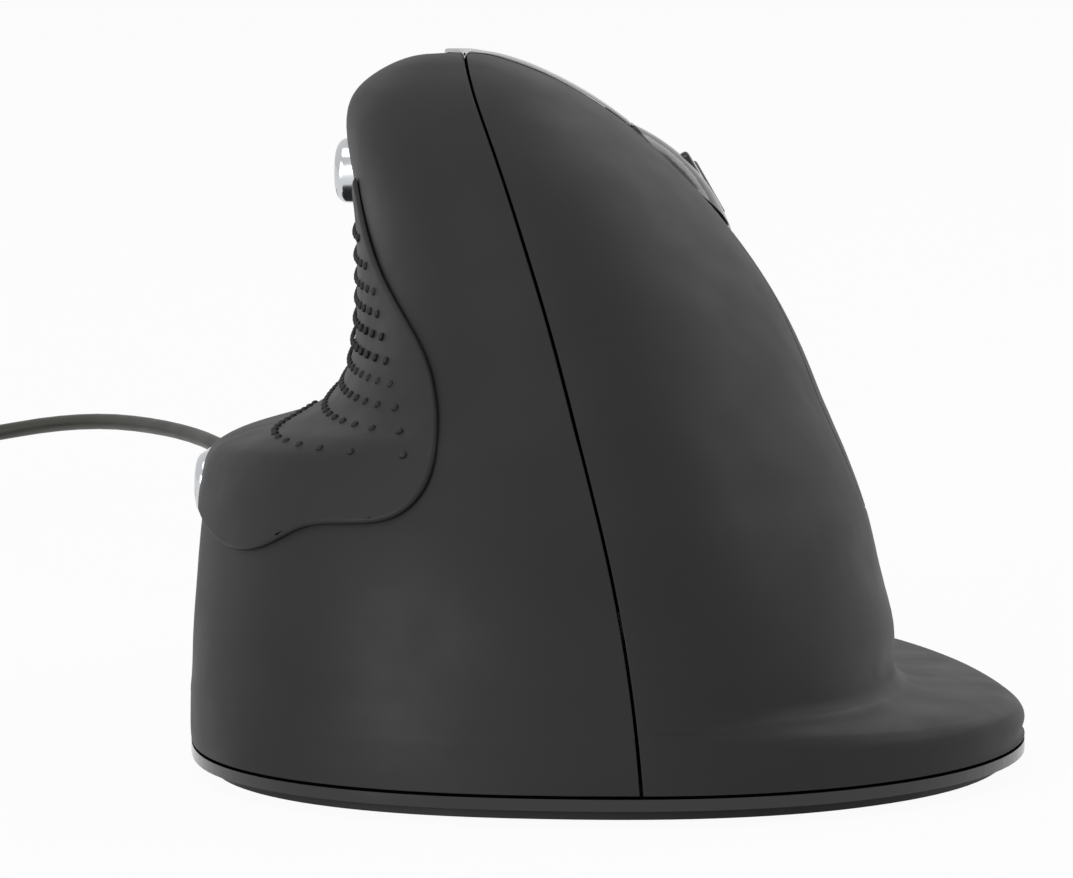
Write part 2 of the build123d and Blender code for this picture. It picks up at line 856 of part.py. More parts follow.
console_post_places = ((console_rear + console_post_inset, -console_half_width + console_post_inset),
                       (console_rear + console_post_inset, console_half_width - console_post_inset))
wheel_depth = wheel_radius - wheel_proud - console_crown - skin_height(wheel_u, 0)
board_top = -frame_depth + board_wall


# Speed button: a cap in the console, a flange under it and a stem down to its switch

def speed_button():
    crown = skin_height(speed_u, 0) + console_crown
    cap = speed_prism(crown - 2 * console_wall, crown + speed_stand, 0)
    cap = fillet(cap.faces().sort_by(Axis(finger_plane.origin, finger_out))[-1].edges(), speed_round)
    under = crown - console_wall - seam_gap - 2 * speed_round
    flange = speed_prism(under - speed_flange, under, speed_flange)
    stem_low = board_top + tact_height + tact_stem_out + speed_travel - stem_travel + plunger_gap
    stem = rod(finger_plane, speed_u, 0, stem_low, under, speed_stem)
    return one_solid(cap + flange + stem)


# Wheel, its axle and the carrier that dips when the wheel is pressed

wheel_frame = finger_plane * Pos(wheel_u, 0, -wheel_depth) * Rot(90, 0, 0)
hub_radius = wheel_radius - wheel_rim - axle_play


def wheel_hub():
    hub = Cylinder(hub_radius, wheel_width - 2 * wheel_rib_depth)
    recess = Cylinder(hub_radius - hub_rim, hub_recess) - Cylinder(hub_boss, hub_recess)
    place = wheel_width / 2 - wheel_rib_depth - hub_recess / 2
    hub = hub - Pos(0, 0, place) * recess - Pos(0, 0, -place) * recess
    hub = hub - Cylinder(axle_radius + axle_play, wheel_width)
    return wheel_frame * hub


def wheel_tyre():
    tyre = Cylinder(wheel_radius, wheel_width)
    tyre = chamfer(tyre.edges(), wheel_rib_depth)
    tyre = tyre - Cylinder(wheel_radius - wheel_rim, wheel_width)
    rib = Pos(wheel_radius, 0, 0) * Box(2 * wheel_rib_depth, wheel_rib_width, wheel_width)
    for k in range(wheel_ribs):
        tyre = tyre - Rot(0, 0, 360 * k / wheel_ribs) * rib
    return wheel_frame * tyre


encoder_outer_v = -carrier_half_width - seam_gap - encoder_width


def wheel_axle():
    low = encoder_outer_v + carrier_wall / 2
    high = carrier_half_width
    return lying_rod(wheel_u, (low + high) / 2, -wheel_depth, axle_radius, high - low)


def wheel_carrier():
    low, high = -carrier_depth, -carrier_depth + carrier_height
    half = carrier_half_width
    arm_in = half - carrier_wall
    carrier = block(finger_plane, carrier_rear, carrier_front, -half, half, low, high)
    carrier = carrier - block(finger_plane, carrier_rear + carrier_bar, carrier_front - carrier_bar,
                              -arm_in, arm_in, low, high)
    reach = axle_radius + carrier_ear
    for side in (1, -1):
        middle = side * (half - carrier_wall / 2)
        ear = block(finger_plane, wheel_u - reach, wheel_u + reach, middle - carrier_wall / 2,
                    middle + carrier_wall / 2, low, -wheel_depth)
        ring = lying_rod(wheel_u, middle, -wheel_depth, reach, carrier_wall)
        carrier = carrier + ear + ring
    return carrier - lying_rod(wheel_u, 0, -wheel_depth, axle_radius + axle_play, 3 * half)


def wheel_spring():
    """Bowed leaf between the finger frame and the carrier's front bar."""
    u = carrier_front - carrier_bar / 2
    low, high = -frame_depth, -carrier_depth
    width = carrier_half_width
    outer = Edge.make_three_point_arc((-width, low), (0, high), (width, low))
    inner = Edge.make_three_point_arc((-width + seam_gap, low), (0, high - seam_gap), (width - seam_gap, low))
    left_end = Edge.make_line((-width, low), (-width + seam_gap, low))
    right_end = Edge.make_line((width, low), (width - seam_gap, low))
    face = Face(Wire([outer, inner, left_end, right_end]))
    across = Plane(origin=finger_plane.from_local_coords(Vector(u, 0, 0)), x_dir=finger_up, z_dir=finger_along)
    return extrude(across * face, amount=carrier_bar / 2, both=True)


def wheel_encoder():
    """Turn sensor beside the wheel, with a fork that the axle dips into."""
    half = encoder_length / 2
    inner = -carrier_half_width - seam_gap
    top = board_top + encoder_height
    case = block(finger_plane, wheel_u - half, wheel_u + half, encoder_outer_v, inner, board_top, top)
    slot_radius = axle_radius + stem_play
    slot_low = encoder_outer_v + carrier_wall / 2 - seam_gap
    bottom = -wheel_depth - press_travel
    slot = lying_rod(wheel_u, (slot_low + inner) / 2, bottom, slot_radius, inner - slot_low)
    fork = block(finger_plane, wheel_u - slot_radius, wheel_u + slot_radius, slot_low, inner, bottom, top)
    return case - slot - fork


# Finger frame and its board

def finger_frame():
    low, high = -frame_depth - frame_wall, -frame_depth
    frame = block(finger_plane, frame_rear, frame_front + frame_wall, frame_foot, frame_top, low, high)
    over = block(finger_plane, -body_length, body_length, -body_width, body_width, high, body_width)
    for u in frame_leg_us:
        y = finger_plane.from_local_coords(Vector(u, frame_foot, high)).Y
        leg = box(frame_leg_x, frame_leg_x + frame_leg, y - frame_leg / 2, y + frame_leg / 2, band_top, frame_leg_z)
        frame = frame + (leg - over)
    frame = frame & frame_limit
    frame = frame - wheel_slot(frame_depth)
    frame = frame - thumb_board_room
    frame = frame + hinge_ears(*index_hinge) + hinge_ears(*middle_hinge)
    return one_solid(frame)


def finger_pcb():
    """Finger board, with the socket of its lead."""
    board = block(finger_plane, frame_rear + board_inset, frame_front - board_inset, frame_foot + board_inset,
                  frame_top - board_inset, -frame_depth, board_top)
    board = board & frame_limit
    board = board - wheel_slot(frame_depth - board_wall)
    board = board - ear_window(index_hinge_u, index_hinge_v) - ear_window(middle_hinge_u, middle_hinge_v)
    socket = block(finger_plane, lead_u - socket_length / 2, lead_u + socket_length / 2, frame_foot + board_inset,
                   frame_foot + board_inset + socket_width, board_top, board_top + lead_socket)
    return one_solid(board + socket)


frame_limit = body_form(frame_inset)
thumb_board_room = block(
    upper_plane, -key_board_length / 2 - key_gap, key_board_length / 2 + key_gap, -key_board_height / 2 - key_gap,
    key_board_height / 2 + key_gap, board_low - key_board_wall - lead_socket - key_gap, 0)


# Base, band and feet

def outline_slab(inset, low, high, hollow=False):
    return slab(foot_face(inset, 0, hollow), low, high)


tier_hole_inset = band_hole_inset + seat_gap


def base_plate():
    plate = outline_slab(tier_inset, glide_wall, base_edge)
    plate = plate + outline_slab(tier_hole_inset, base_edge, band_top)
    lip = outline_slab(lip_inset, band_top, band_top + lip_height, True)
    lip = lip - outline_slab(lip_inset + lip_wall, band_top, band_top + lip_height, True)
    for x, y in zip(screw_xs, screw_ys):
        lip = lip - Pos(x, y, band_top + lip_height / 2) * Cylinder(boss_radius + key_gap, lip_height)
    plate = plate + lip
    for x, y in board_post_places:
        post = Pos(x, y, (band_top + board_z) / 2) * Cylinder(board_post_radius, board_z - band_top)
        plate = plate + post
        plate = plate - Pos(x, y, board_z) * Cylinder(board_screw_radius + axle_play, 2 * board_screw_length)
    for x, y in zip(screw_xs, screw_ys):
        plate = plate - Pos(x, y, glide_wall) * Cylinder(screw_head_radius + seat_gap, 2 * screw_head)
        plate = plate - Pos(x, y, band_top) * Cylinder(screw_radius + seat_gap, 2 * band_top)
    plate = plate - Pos(sensor_x, sensor_y, band_top) * Cylinder(lens_spigot + seat_gap, 2 * band_top)
    return one_solid(plate)


def base_band():
    return outline_slab(0, base_edge, band_top) - outline_slab(band_hole_inset, base_edge, band_top)


def base_screw(x, y):
    head_top = glide_wall + screw_head
    head = Pos(x, y, glide_wall + screw_head / 2) * Cylinder(screw_head_radius, screw_head)
    shank = Pos(x, y, head_top + screw_length / 2) * Cylinder(screw_radius, screw_length)
    drive = Pos(x, y, glide_wall) * Box(2 * screw_radius, screw_head / 2, screw_head)
    drive = drive + Pos(x, y, glide_wall) * Box(screw_head / 2, 2 * screw_radius, screw_head)
    return one_solid((head + shank) - drive)


def glide(x, y):
    pad = RectangleRounded(glide_length, glide_width, glide_corner)
    return Pos(x, y, 0) * extrude(pad, amount=glide_wall)


# Main board and what it carries

board_upper = board_z + board_wall
board_post_places = []
for side_x in (-1, 1):
    for side_y in (-1, 1):
        post_x = board_x + side_x * (board_width / 2 - board_post_inset)
        post_y = board_y + side_y * (board_length / 2 - board_post_inset)
        board_post_places.append((post_x, post_y))


def main_pcb():
    """Main board with its three sockets and its holes."""
    board = RectangleRounded(board_width, board_length, board_corner)
    board = Pos(board_x, board_y, board_z) * extrude(board, amount=board_wall)
    for x, y in board_post_places:
        board = board - Pos(x, y, board_z) * Cylinder(board_screw_radius + stem_play, 2 * board_wall)
    board = board + on_board(cord_socket_x, cord_socket_y, socket_length, socket_width, socket_height)
    board = board + on_board(finger_socket_x, finger_socket_y, socket_width, socket_length, socket_height)
    board = board + on_board(thumb_socket_x, thumb_socket_y, socket_length, socket_width, socket_height)
    return board - Pos(sensor_x, sensor_y, board_z) * Cylinder(lens_bore, 2 * board_wall)


def board_screw(x, y):
    head = Pos(x, y, board_upper + board_screw_rise / 2) * Cylinder(board_screw_head, board_screw_rise)
    shank = Pos(x, y, board_upper - board_screw_length / 2) * Cylinder(board_screw_radius, board_screw_length)
    return head + shank


def on_board(x, y, length_x, length_y, height):
    return box(x - length_x / 2, x + length_x / 2, y - length_y / 2, y + length_y / 2, board_upper, board_upper + height)


def sensor_lens():
    lens = box(sensor_x - lens_width / 2, sensor_x + lens_width / 2, sensor_y - lens_length / 2,
               sensor_y + lens_length / 2, band_top, board_z)
    spigot = Pos(sensor_x, sensor_y, (lens_spigot_low + band_top) / 2) * Cylinder(lens_spigot, band_top - lens_spigot_low)
    return (lens + spigot) - Pos(sensor_x, sensor_y, board_z / 2) * Cylinder(lens_bore, board_z)


# Cords: straight runs joined by tangent arcs

def cord_radii(points):
    """Bend radius at each inner point: a share of the shorter run beside it."""
    radii = []
    for before, here, after in zip(points, points[1:], points[2:]):
        first, second = here - before, after - here
        turn = radians(first.get_angle(second))
        radii.append(cord_bend_share * min(first.length, second.length) / tan(turn / 2))
    return radii


def cord_path(points):
    return Wire(FilletPolyline(points, radius=cord_radii(points)).edges())


def tube(points, radius, sides):
    """Faceted tube along a route."""
    start = Plane(origin=points[0], z_dir=points[1] - points[0])
    return sweep(start * RegularPolygon(radius, sides), path=cord_path(points))


def at(*values):
    return Vector(*values)


# Coil: spirals in and out, layer by layer from the top, each half turn one arc

half_pitch = coil_pitch / 2
coil_outer_radius = coil_inner_radius + coil_half_turns * half_pitch
coil_low = cord_radius + tie_wall + seat_gap


def coil_places():
    """Joints of the coil's half turns, each with its height, from the free cable on."""
    radius = coil_outer_radius
    side, step = 1, -half_pitch
    height = coil_low + (coil_layers - 1) * coil_layer
    places = [at(coil_x, coil_y + radius, height)]
    for layer in range(coil_layers):
        for turn in range(coil_half_turns):
            side = -side
            radius += step
            places.append(at(coil_x, coil_y + side * radius, height))
        if layer < coil_layers - 1:
            side = -side
            height -= coil_layer
            places.append(at(coil_x, coil_y + side * radius, height))
            step = -step
    return places


def coil_edges():
    """The coil's arcs: flat half turns, and two quarter turns where it climbs down."""
    places = coil_places()
    start = places[0] + at(2 * cord_radius, 0, 0)
    edges = [Edge.make_line(start, places[0])]
    for k, (here, there) in enumerate(zip(places, places[1:])):
        out = at(-1, 0, 0) if here.Y > there.Y else at(1, 0, 0)
        middle = (here + there) / 2
        reach = (there - here).length / 2
        if k == len(places) - 2:
            end = middle + out * reach
            edges.append(Edge.make_tangent_arc(here, out, end))
            edges.append(Edge.make_line(end, end + at(0, -2 * cord_radius, 0)))
        elif abs(here.Z - there.Z) > 0:
            end = middle + out * reach
            edges.append(Edge.make_tangent_arc(here, out, end))
            edges.append(Edge.make_tangent_arc(end, there - here, there))
        else:
            edges.append(Edge.make_three_point_arc(here, middle + out * reach, there))
    return edges


coil_run = coil_edges()
coil_wire = Wire(coil_run)
coil_start = coil_run[0] @ 0
coil_end = coil_run[-1] @ 1


def cable_coil():
    section = Plane(origin=coil_start, z_dir=(-1, 0, 0)) * RegularPolygon(cord_radius, coil_sides)
    return sweep(section, path=coil_wire)


relief_inner_y = half_length - relief_setback
cord_start_y = cord_socket_y + socket_width / 2
free_points = [
    at(cord_socket_x, cord_start_y, cord_inside_z),
    at(cord_socket_x, cord_start_y + inside_run, cord_inside_z),
    at(cord_exit_x, relief_inner_y - inside_run, cord_exit_z),
]
for x, y, z in zip(free_xs, free_ys, free_zs):
    free_points.append(at(x, y, z))
free_points.append(coil_start + at(free_lead_in, 0, 0))
free_points.append(coil_start)
tail_points = [
    coil_end,
    coil_end + at(0, -tail_run, 0),
    at(coil_end.X, coil_end.Y - 2 * tail_run, plug_height / 2),
    at(coil_end.X, coil_end.Y - 3 * tail_run, plug_height / 2),
]

def strain_relief():
    """Moulded relief: a flange inside the shells, a neck, a ring outside and a cone."""
    radii = (relief_flange_radius, relief_flange_radius, relief_radius, relief_radius,
             relief_ring_radius, relief_ring_radius, relief_end_radius)
    ys = (relief_inner_y, relief_inner_y + relief_flange, relief_inner_y + relief_flange, relief_neck_y,
          relief_neck_y, relief_neck_y + relief_flange, relief_neck_y + relief_length)
    points = [(0, relief_inner_y)] + list(zip(radii, ys)) + [(0, ys[-1])]
    face = Face(Wire(Polyline(points, close=True).edges()))
    turned = revolve(face, axis=Axis.Y)
    bore = Pos(0, relief_neck_y, 0) * Rot(90, 0, 0) * Cylinder(cord_radius + axle_play, 4 * relief_length)
    return Pos(cord_exit_x, 0, cord_exit_z) * (turned - bore)


relief_neck_y = skin_distance(at(cord_exit_x, 0, cord_exit_z - relief_ring_radius), at(0, 1, 0)) + seat_gap
plug_end_y = tail_points[-1].Y


def usb_plug_grip():
    """Grip of the plug, with a short taper where the cable enters."""
    x, high = tail_points[-1].X, plug_height
    grip = box(x - plug_width / 2, x + plug_width / 2, plug_end_y - plug_length, plug_end_y - plug_taper, 0, high)
    grip = fillet(grip.edges().filter_by(Axis.Y), plug_round)
    root = Plane(origin=(x, plug_end_y - plug_taper, high / 2), x_dir=(1, 0, 0), z_dir=(0, 1, 0))
    taper = loft([root * RectangleRounded(plug_width / 2, high - 2 * plug_round, plug_round - tie_wall),
                  root.offset(plug_taper) * Circle(cord_radius + tie_wall)])
    grip = grip + taper
    grip = grip - Pos(x, plug_end_y, high / 2) * Rot(90, 0, 0) * Cylinder(cord_radius + axle_play, plug_taper)
    return one_solid(grip)


def usb_plug_shell():
    x, middle = tail_points[-1].X, plug_height / 2
    low_y = plug_end_y - plug_length - plug_shell_length
    outer = box(x - plug_shell_width / 2, x + plug_shell_width / 2, low_y, plug_end_y - plug_length,
                middle - plug_shell_height / 2, middle + plug_shell_height / 2)
    wall = plug_shell_wall
    inner = box(x - plug_shell_width / 2 + wall, x + plug_shell_width / 2 - wall, low_y, plug_end_y - plug_length,
                middle - plug_shell_height / 2 + wall, middle + plug_shell_height / 2 - wall)
    shell = outer - inner
    for side in (-1, 1):
        hole_x = x + side * plug_shell_width / 4
        shell = shell - Pos(hole_x, low_y + plug_shell_length / 2, middle) * Box(
            plug_core_height, plug_core_height, 2 * plug_height)
    return shell


def usb_plug_core():
    x, middle = tail_points[-1].X, plug_height / 2
    low = middle - plug_shell_height / 2 + plug_shell_wall + seat_gap
    wall = plug_shell_wall + seat_gap
    low_y = plug_end_y - plug_length - plug_shell_length
    return box(x - plug_shell_width / 2 + wall, x + plug_shell_width / 2 - wall, low_y + wall,
               plug_end_y - plug_length, low, low + plug_core_height)


def cable_tie():
    """Strap around the coil's bundle, on the side of the mouse."""
    gap = cord_radius + seat_gap
    x_in, x_out = coil_x + coil_inner_radius - gap, coil_x + coil_outer_radius + gap
    low, high = coil_low - gap, coil_low + (coil_layers - 1) * coil_layer + gap
    half = tie_width / 2
    strap = box(x_in - tie_wall, x_out + tie_wall, coil_y - half, coil_y + half, low - tie_wall, high + tie_wall)
    return strap - box(x_in, x_out, coil_y - half, coil_y + half, low, high)


# Leads from the finger board and from the thumb boards to the main board

def lead_from(plane, u, v, w, out):
    """First two points of a lead that leaves a socket in a direction."""
    start = plane.from_local_coords(Vector(u, v, w))
    return [start, start + out * lead_run]


socket_top = board_upper + socket_height
finger_lead_points = lead_from(
    finger_plane, lead_u, frame_foot + board_inset, board_top + lead_socket / 2, -finger_plane.y_dir)
finger_lead_points += [
    at(finger_socket_x + socket_width + lead_run, finger_socket_y, board_upper + socket_height / 2),
    at(finger_socket_x + socket_width / 2, finger_socket_y, board_upper + socket_height / 2),
]


def thumb_lead_points(plane, end_x):
    """Route of a thumb board's lead, down to the socket on the main board."""
    u = tact_side + socket_length
    points = lead_from(plane, u, 0, board_low - key_board_wall - lead_socket / 2, plane.x_dir)
    points.append(at(end_x, thumb_socket_y, socket_top + lead_run))
    points.append(at(end_x, thumb_socket_y, socket_top))
    return points


upper_lead_points = thumb_lead_points(upper_plane, thumb_socket_x + socket_length / 4)
lower_lead_points = thumb_lead_points(lower_plane, thumb_socket_x - socket_length / 4)


# Every piece, under its own name

index_case, index_plunger = click_switch(index_switch_u, index_switch_v)
middle_case, middle_plunger = click_switch(middle_switch_u, middle_hinge_v)
speed_switch, speed_switch_stem = tact(finger_plane, speed_u, 0, board_top)
wheel_switch, wheel_switch_stem = tact(finger_plane, carrier_rear + carrier_bar / 2, 0, board_top)
upper_switch, upper_switch_stem = tact(upper_plane, 0, 0, board_low)
lower_switch, lower_switch_stem = tact(lower_plane, 0, 0, board_low)

pieces = {
    "palm_shell": palm_shell(),
    "thumb_shell": thumb_shell(),
    "thumb_pad": thumb_pad(),
    "top_trim": top_trim(),
    "console_cover": console_cover(),
    "index_button": finger_button(index_cutter, index_hinge, index_switch_u, index_switch_v),
    "middle_button": finger_button(middle_cutter, middle_hinge, middle_switch_u, middle_hinge_v),
    "thumb_button_upper": thumb_key(upper_plane, key_stand),
    "thumb_button_lower": thumb_key(lower_plane, lower_key_stand),
    "speed_button": speed_button(),
    "wheel_hub": wheel_hub(),
    "wheel_tyre": wheel_tyre(),
    "wheel_axle": wheel_axle(),
    "wheel_carrier": wheel_carrier(),
    "wheel_spring": wheel_spring(),
    "wheel_encoder": wheel_encoder(),
    "wheel_switch": wheel_switch,
    "wheel_switch_stem": wheel_switch_stem,
    "speed_switch": speed_switch,
    "speed_switch_stem": speed_switch_stem,
    "index_switch": index_case,
    "index_plunger": index_plunger,
    "middle_switch": middle_case,
    "middle_plunger": middle_plunger,
    "finger_frame": finger_frame(),
    "finger_pcb": finger_pcb(),
    "thumb_pcb_upper": key_board(upper_plane, board_low),
    "thumb_switch_upper": upper_switch,
    "thumb_stem_upper": upper_switch_stem,
    "thumb_pcb_lower": key_board(lower_plane, board_low),
    "thumb_switch_lower": lower_switch,
    "thumb_stem_lower": lower_switch_stem,
    "base_plate": base_plate(),
    "base_band": base_band(),
    "main_pcb": main_pcb(),
    "pcb_screw_front": board_screw(*board_post_places[1]),
    "pcb_screw_rear": board_screw(*board_post_places[2]),
    "sensor_chip": on_board(sensor_x, sensor_y, sensor_width, sensor_length, sensor_height),
    "sensor_lens": sensor_lens(),
    "sensor_led": Pos(led_x, led_y, board_upper + led_height / 2) * Cylinder(led_radius, led_height),
    "controller_chip": on_board(chip_x, chip_y, chip_side, chip_side, chip_height),
    "finger_lead": tube(finger_lead_points, lead_radius, lead_sides),
    "thumb_lead_upper": tube(upper_lead_points, lead_radius, lead_sides),
    "thumb_lead_lower": tube(lower_lead_points, lead_radius, lead_sides),
    "strain_relief": strain_relief(),
    "cable_free": tube(free_points, cord_radius, cord_sides),
    "cable_coil": cable_coil(),
    "cable_tail": tube(tail_points, cord_radius, cord_sides),
    "cable_tie": cable_tie(),
    "usb_plug_grip": usb_plug_grip(),
    "usb_plug_shell": usb_plug_shell(),
    "usb_plug_core": usb_plug_core(),
}
for place, name in enumerate(place_names):
    pieces["glide_" + name] = glide(glide_xs[place], glide_ys[place])
    pieces["base_screw_" + name] = base_screw(screw_xs[place], screw_ys[place])


# What the printed lines say of the cord: its length, its bends and the coil's own gap

def coil_gap():
    """Least gap between two parts of the coil that aren't neighbours along it."""
    points = []
    for number, edge in enumerate(coil_run):
        for k in range(12):
            points.append((number, edge @ (k / 12)))
    least = coil_outer_radius
    for place, (number, point) in enumerate(points):
        for other_number, other in points[place + 1:]:
            if other_number > number + 1:
                least = min(least, (other - point).length)
    return least - 2 * cord_radius


inside_length = relief_neck_y - relief_inner_y + (free_points[2] - free_points[1]).length + 2 * inside_run
free_length = cord_path(free_points).length - inside_length
tail_length = cord_path(tail_points).length
total_length = free_length + coil_wire.length + tail_length
print("free", round(free_length, 1), "coil", round(coil_wire.length, 1), "tail", round(tail_length, 1))
total_length += plug_length + plug_shell_length
print("cord in all, with its plug", round(total_length, 1), "wanted", cord_length)
print("radii", [round(r, 1) for r in cord_radii(free_points) + cord_radii(tail_points)])
for lead_points in (finger_lead_points, upper_lead_points, lower_lead_points):
    print("lead radii", [round(r, 1) for r in cord_radii(lead_points)])
print("coil gap", round(coil_gap(), 2))

os.makedirs("parts", exist_ok=True)
for name, shape in pieces.items():
    export_step(shape, "parts/" + name + ".step")
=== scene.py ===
import json
import math

import bmesh
import bpy
import numpy as np
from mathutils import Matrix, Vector
from mathutils.bvhtree import BVHTree
from mathutils.interpolate import poly_3d_calc


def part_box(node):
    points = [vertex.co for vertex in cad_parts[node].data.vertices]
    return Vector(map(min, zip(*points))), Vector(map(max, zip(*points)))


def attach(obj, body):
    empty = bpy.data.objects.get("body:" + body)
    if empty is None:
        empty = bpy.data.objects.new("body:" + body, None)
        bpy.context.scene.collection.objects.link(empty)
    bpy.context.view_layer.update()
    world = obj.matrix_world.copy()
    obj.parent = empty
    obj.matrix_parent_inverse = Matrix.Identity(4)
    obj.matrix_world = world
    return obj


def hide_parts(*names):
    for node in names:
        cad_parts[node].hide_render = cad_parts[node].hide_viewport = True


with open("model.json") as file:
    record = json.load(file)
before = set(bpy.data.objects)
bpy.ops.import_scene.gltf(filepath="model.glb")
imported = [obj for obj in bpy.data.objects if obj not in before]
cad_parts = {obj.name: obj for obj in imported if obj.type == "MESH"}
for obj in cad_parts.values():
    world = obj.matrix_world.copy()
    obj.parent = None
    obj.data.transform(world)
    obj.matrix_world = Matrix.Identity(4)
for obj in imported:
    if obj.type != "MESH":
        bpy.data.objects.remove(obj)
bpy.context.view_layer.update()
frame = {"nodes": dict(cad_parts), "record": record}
nodes = frame["nodes"]

MM = 0.001

# Camera: the photograph's own view, level with a little downward tilt

PHOTO_WIDTH, PHOTO_HEIGHT = 1073, 878
FOCAL_PX = 6374
SENSOR_MM = 36
CAMERA_PLACE = (-7.3, -659.5, 109.7)
CAMERA_DROP_PX = 766
CLIP_NEAR, CLIP_FAR = 0.01, 50

camera_data = bpy.data.cameras.new("camera")
camera_data.sensor_width = SENSOR_MM
camera_data.sensor_fit = "HORIZONTAL"
camera_data.lens = SENSOR_MM * FOCAL_PX / PHOTO_WIDTH
camera_data.clip_start, camera_data.clip_end = CLIP_NEAR, CLIP_FAR
camera = bpy.data.objects.new("camera", camera_data)
bpy.context.scene.collection.objects.link(camera)
camera.location = Vector(CAMERA_PLACE) * MM
camera.rotation_euler = (math.pi / 2 - math.atan(CAMERA_DROP_PX / FOCAL_PX), 0, 0)
bpy.context.scene.camera = camera

# Materials

# the middle of a noise, which is where its values lie
NOISE_LOW, NOISE_HIGH = 0.3, 0.7
FINE_DETAIL, PLAIN_DETAIL, COARSE_DETAIL, LINE_DETAIL = 5.0, 3.0, 2.0, 4.0
BRUSH_SIZE, BRUSH_DEPTH = 0.00015, 0.000003
TRACK_DENSITY, TRACK_LOW, TRACK_HIGH, TRACK_DEPTH = 420.0, 0.03, 0.06, 0.00003
TRACK_COLOUR, BOARD_COLOUR = (0.012, 0.07, 0.03, 1), (0.02, 0.11, 0.045, 1)
BOARD_PATCH, BOARD_ROUGH = 0.004, (0.22, 0.35)
WEAVE_DENSITY, WEAVE_DEPTH = 700.0, 0.00006
# sockets of the mix node for colours, which have no names of their own
MIX_FIRST, MIX_SECOND, MIX_OUT = 6, 7, 2


class Graph:
    """A material's node tree, with short ways to add and join nodes."""

    def __init__(self, name):
        self.material = bpy.data.materials.new(name)
        self.material.use_nodes = True
        self.tree = self.material.node_tree
        self.shader = self.tree.nodes["Principled BSDF"]
        self.coords = self.add("ShaderNodeTexCoord").outputs["Object"]

    def add(self, kind, **values):
        node = self.tree.nodes.new(kind)
        for key, value in values.items():
            setattr(node, key, value)
        return node

    def join(self, out, socket):
        self.tree.links.new(out, socket)

    def noise(self, size, detail=PLAIN_DETAIL, stretch=(1, 1, 1)):
        """Noise with features of a size in metres, drawn out along an axis by a stretch."""
        scale = self.add("ShaderNodeMapping")
        scale.inputs["Scale"].default_value = [1 / (size * s) for s in stretch]
        self.join(self.coords, scale.inputs["Vector"])
        node = self.add("ShaderNodeTexNoise")
        node.inputs["Scale"].default_value = 1.0
        node.inputs["Detail"].default_value = detail
        self.join(scale.outputs["Vector"], node.inputs["Vector"])
        return node.outputs["Fac"]

    def spread(self, fac, low, high, start=NOISE_LOW, end=NOISE_HIGH):
        """A value that runs from low to high over the middle of a noise."""
        node = self.add("ShaderNodeMapRange")
        for key, value in zip(("From Min", "From Max", "To Min", "To Max"), (start, end, low, high)):
            node.inputs[key].default_value = value
        self.join(fac, node.inputs["Value"])
        return node.outputs["Result"]

    def colours(self, fac, low, high):
        """A colour that runs from low to high over the middle of a noise."""
        ramp = self.add("ShaderNodeValToRGB")
        first, second = ramp.color_ramp.elements
        first.position, second.position = NOISE_LOW, NOISE_HIGH
        first.color, second.color = (*low, 1), (*high, 1)
        self.join(fac, ramp.inputs["Fac"])
        return ramp.outputs["Color"]

    def bump(self, heights):
        """Bumps on top of each other: pairs of a height and its depth in metres."""
        normal = None
        for height, depth in heights:
            node = self.add("ShaderNodeBump")
            node.inputs["Strength"].default_value = 1.0
            node.inputs["Distance"].default_value = depth
            self.join(height, node.inputs["Height"])
            if normal is not None:
                self.join(normal, node.inputs["Normal"])
            normal = node.outputs["Normal"]
        self.join(normal, self.shader.inputs["Normal"])


def finish_material(name, dark, light, rough, patch=0.02, grain=0.00018, depth=0.000004, **sockets):
    """Moulded or plated surface: two close colours in soft patches, a fine grain and an uneven polish."""
    graph = Graph(name)
    graph.join(graph.colours(graph.noise(patch), dark, light), graph.shader.inputs["Base Color"])
    graph.join(graph.spread(graph.noise(patch / 3, FINE_DETAIL), *rough), graph.shader.inputs["Roughness"])
    graph.bump([(graph.noise(grain, COARSE_DETAIL), depth)])
    for key, value in sockets.items():
        graph.shader.inputs[key.replace("_", " ")].default_value = value
    return graph


def grey(value, warm=0.0):
    return (value * (1 + warm), value, value * (1 - warm))


MATERIALS = {}
MATERIALS["shell"] = finish_material(
    "soft_touch_shell", grey(0.0185), grey(0.0215), (0.48, 0.56),
    grain=0.00022, depth=0.0000035, Specular_IOR_Level=0.2).material
MATERIALS["pad"] = finish_material(
    "grip_rubber", grey(0.0175), grey(0.021), (0.5, 0.62), grain=0.00025, depth=0.000005,
    Specular_IOR_Level=0.25).material
MATERIALS["gloss"] = finish_material(
    "gloss_black", grey(0.008), grey(0.011), (0.1, 0.2), depth=0.0000006).material
MATERIALS["plated"] = finish_material(
    "plated_key", grey(0.6, -0.03), grey(0.68, -0.03), (0.12, 0.2), patch=0.006,
    depth=0.0000005, Metallic=1.0).material
MATERIALS["tyre"] = finish_material(
    "wheel_rubber", grey(0.014), grey(0.02), (0.55, 0.68), grain=0.00012).material
MATERIALS["hub"] = finish_material("hub_plastic", grey(0.17), grey(0.21), (0.35, 0.45)).material
MATERIALS["frame"] = finish_material("frame_plastic", grey(0.05), grey(0.065), (0.5, 0.6)).material
MATERIALS["switch"] = finish_material(
    "switch_plastic", grey(0.03), grey(0.04), (0.35, 0.45), patch=0.003).material
MATERIALS["plunger"] = finish_material(
    "plunger_plastic", (0.5, 0.06, 0.04), (0.6, 0.09, 0.06), (0.3, 0.4), patch=0.001).material
MATERIALS["glide"] = finish_material(
    "glide_film", grey(0.72, 0.01), grey(0.8, 0.01), (0.25, 0.38), patch=0.004,
    grain=0.0003).material
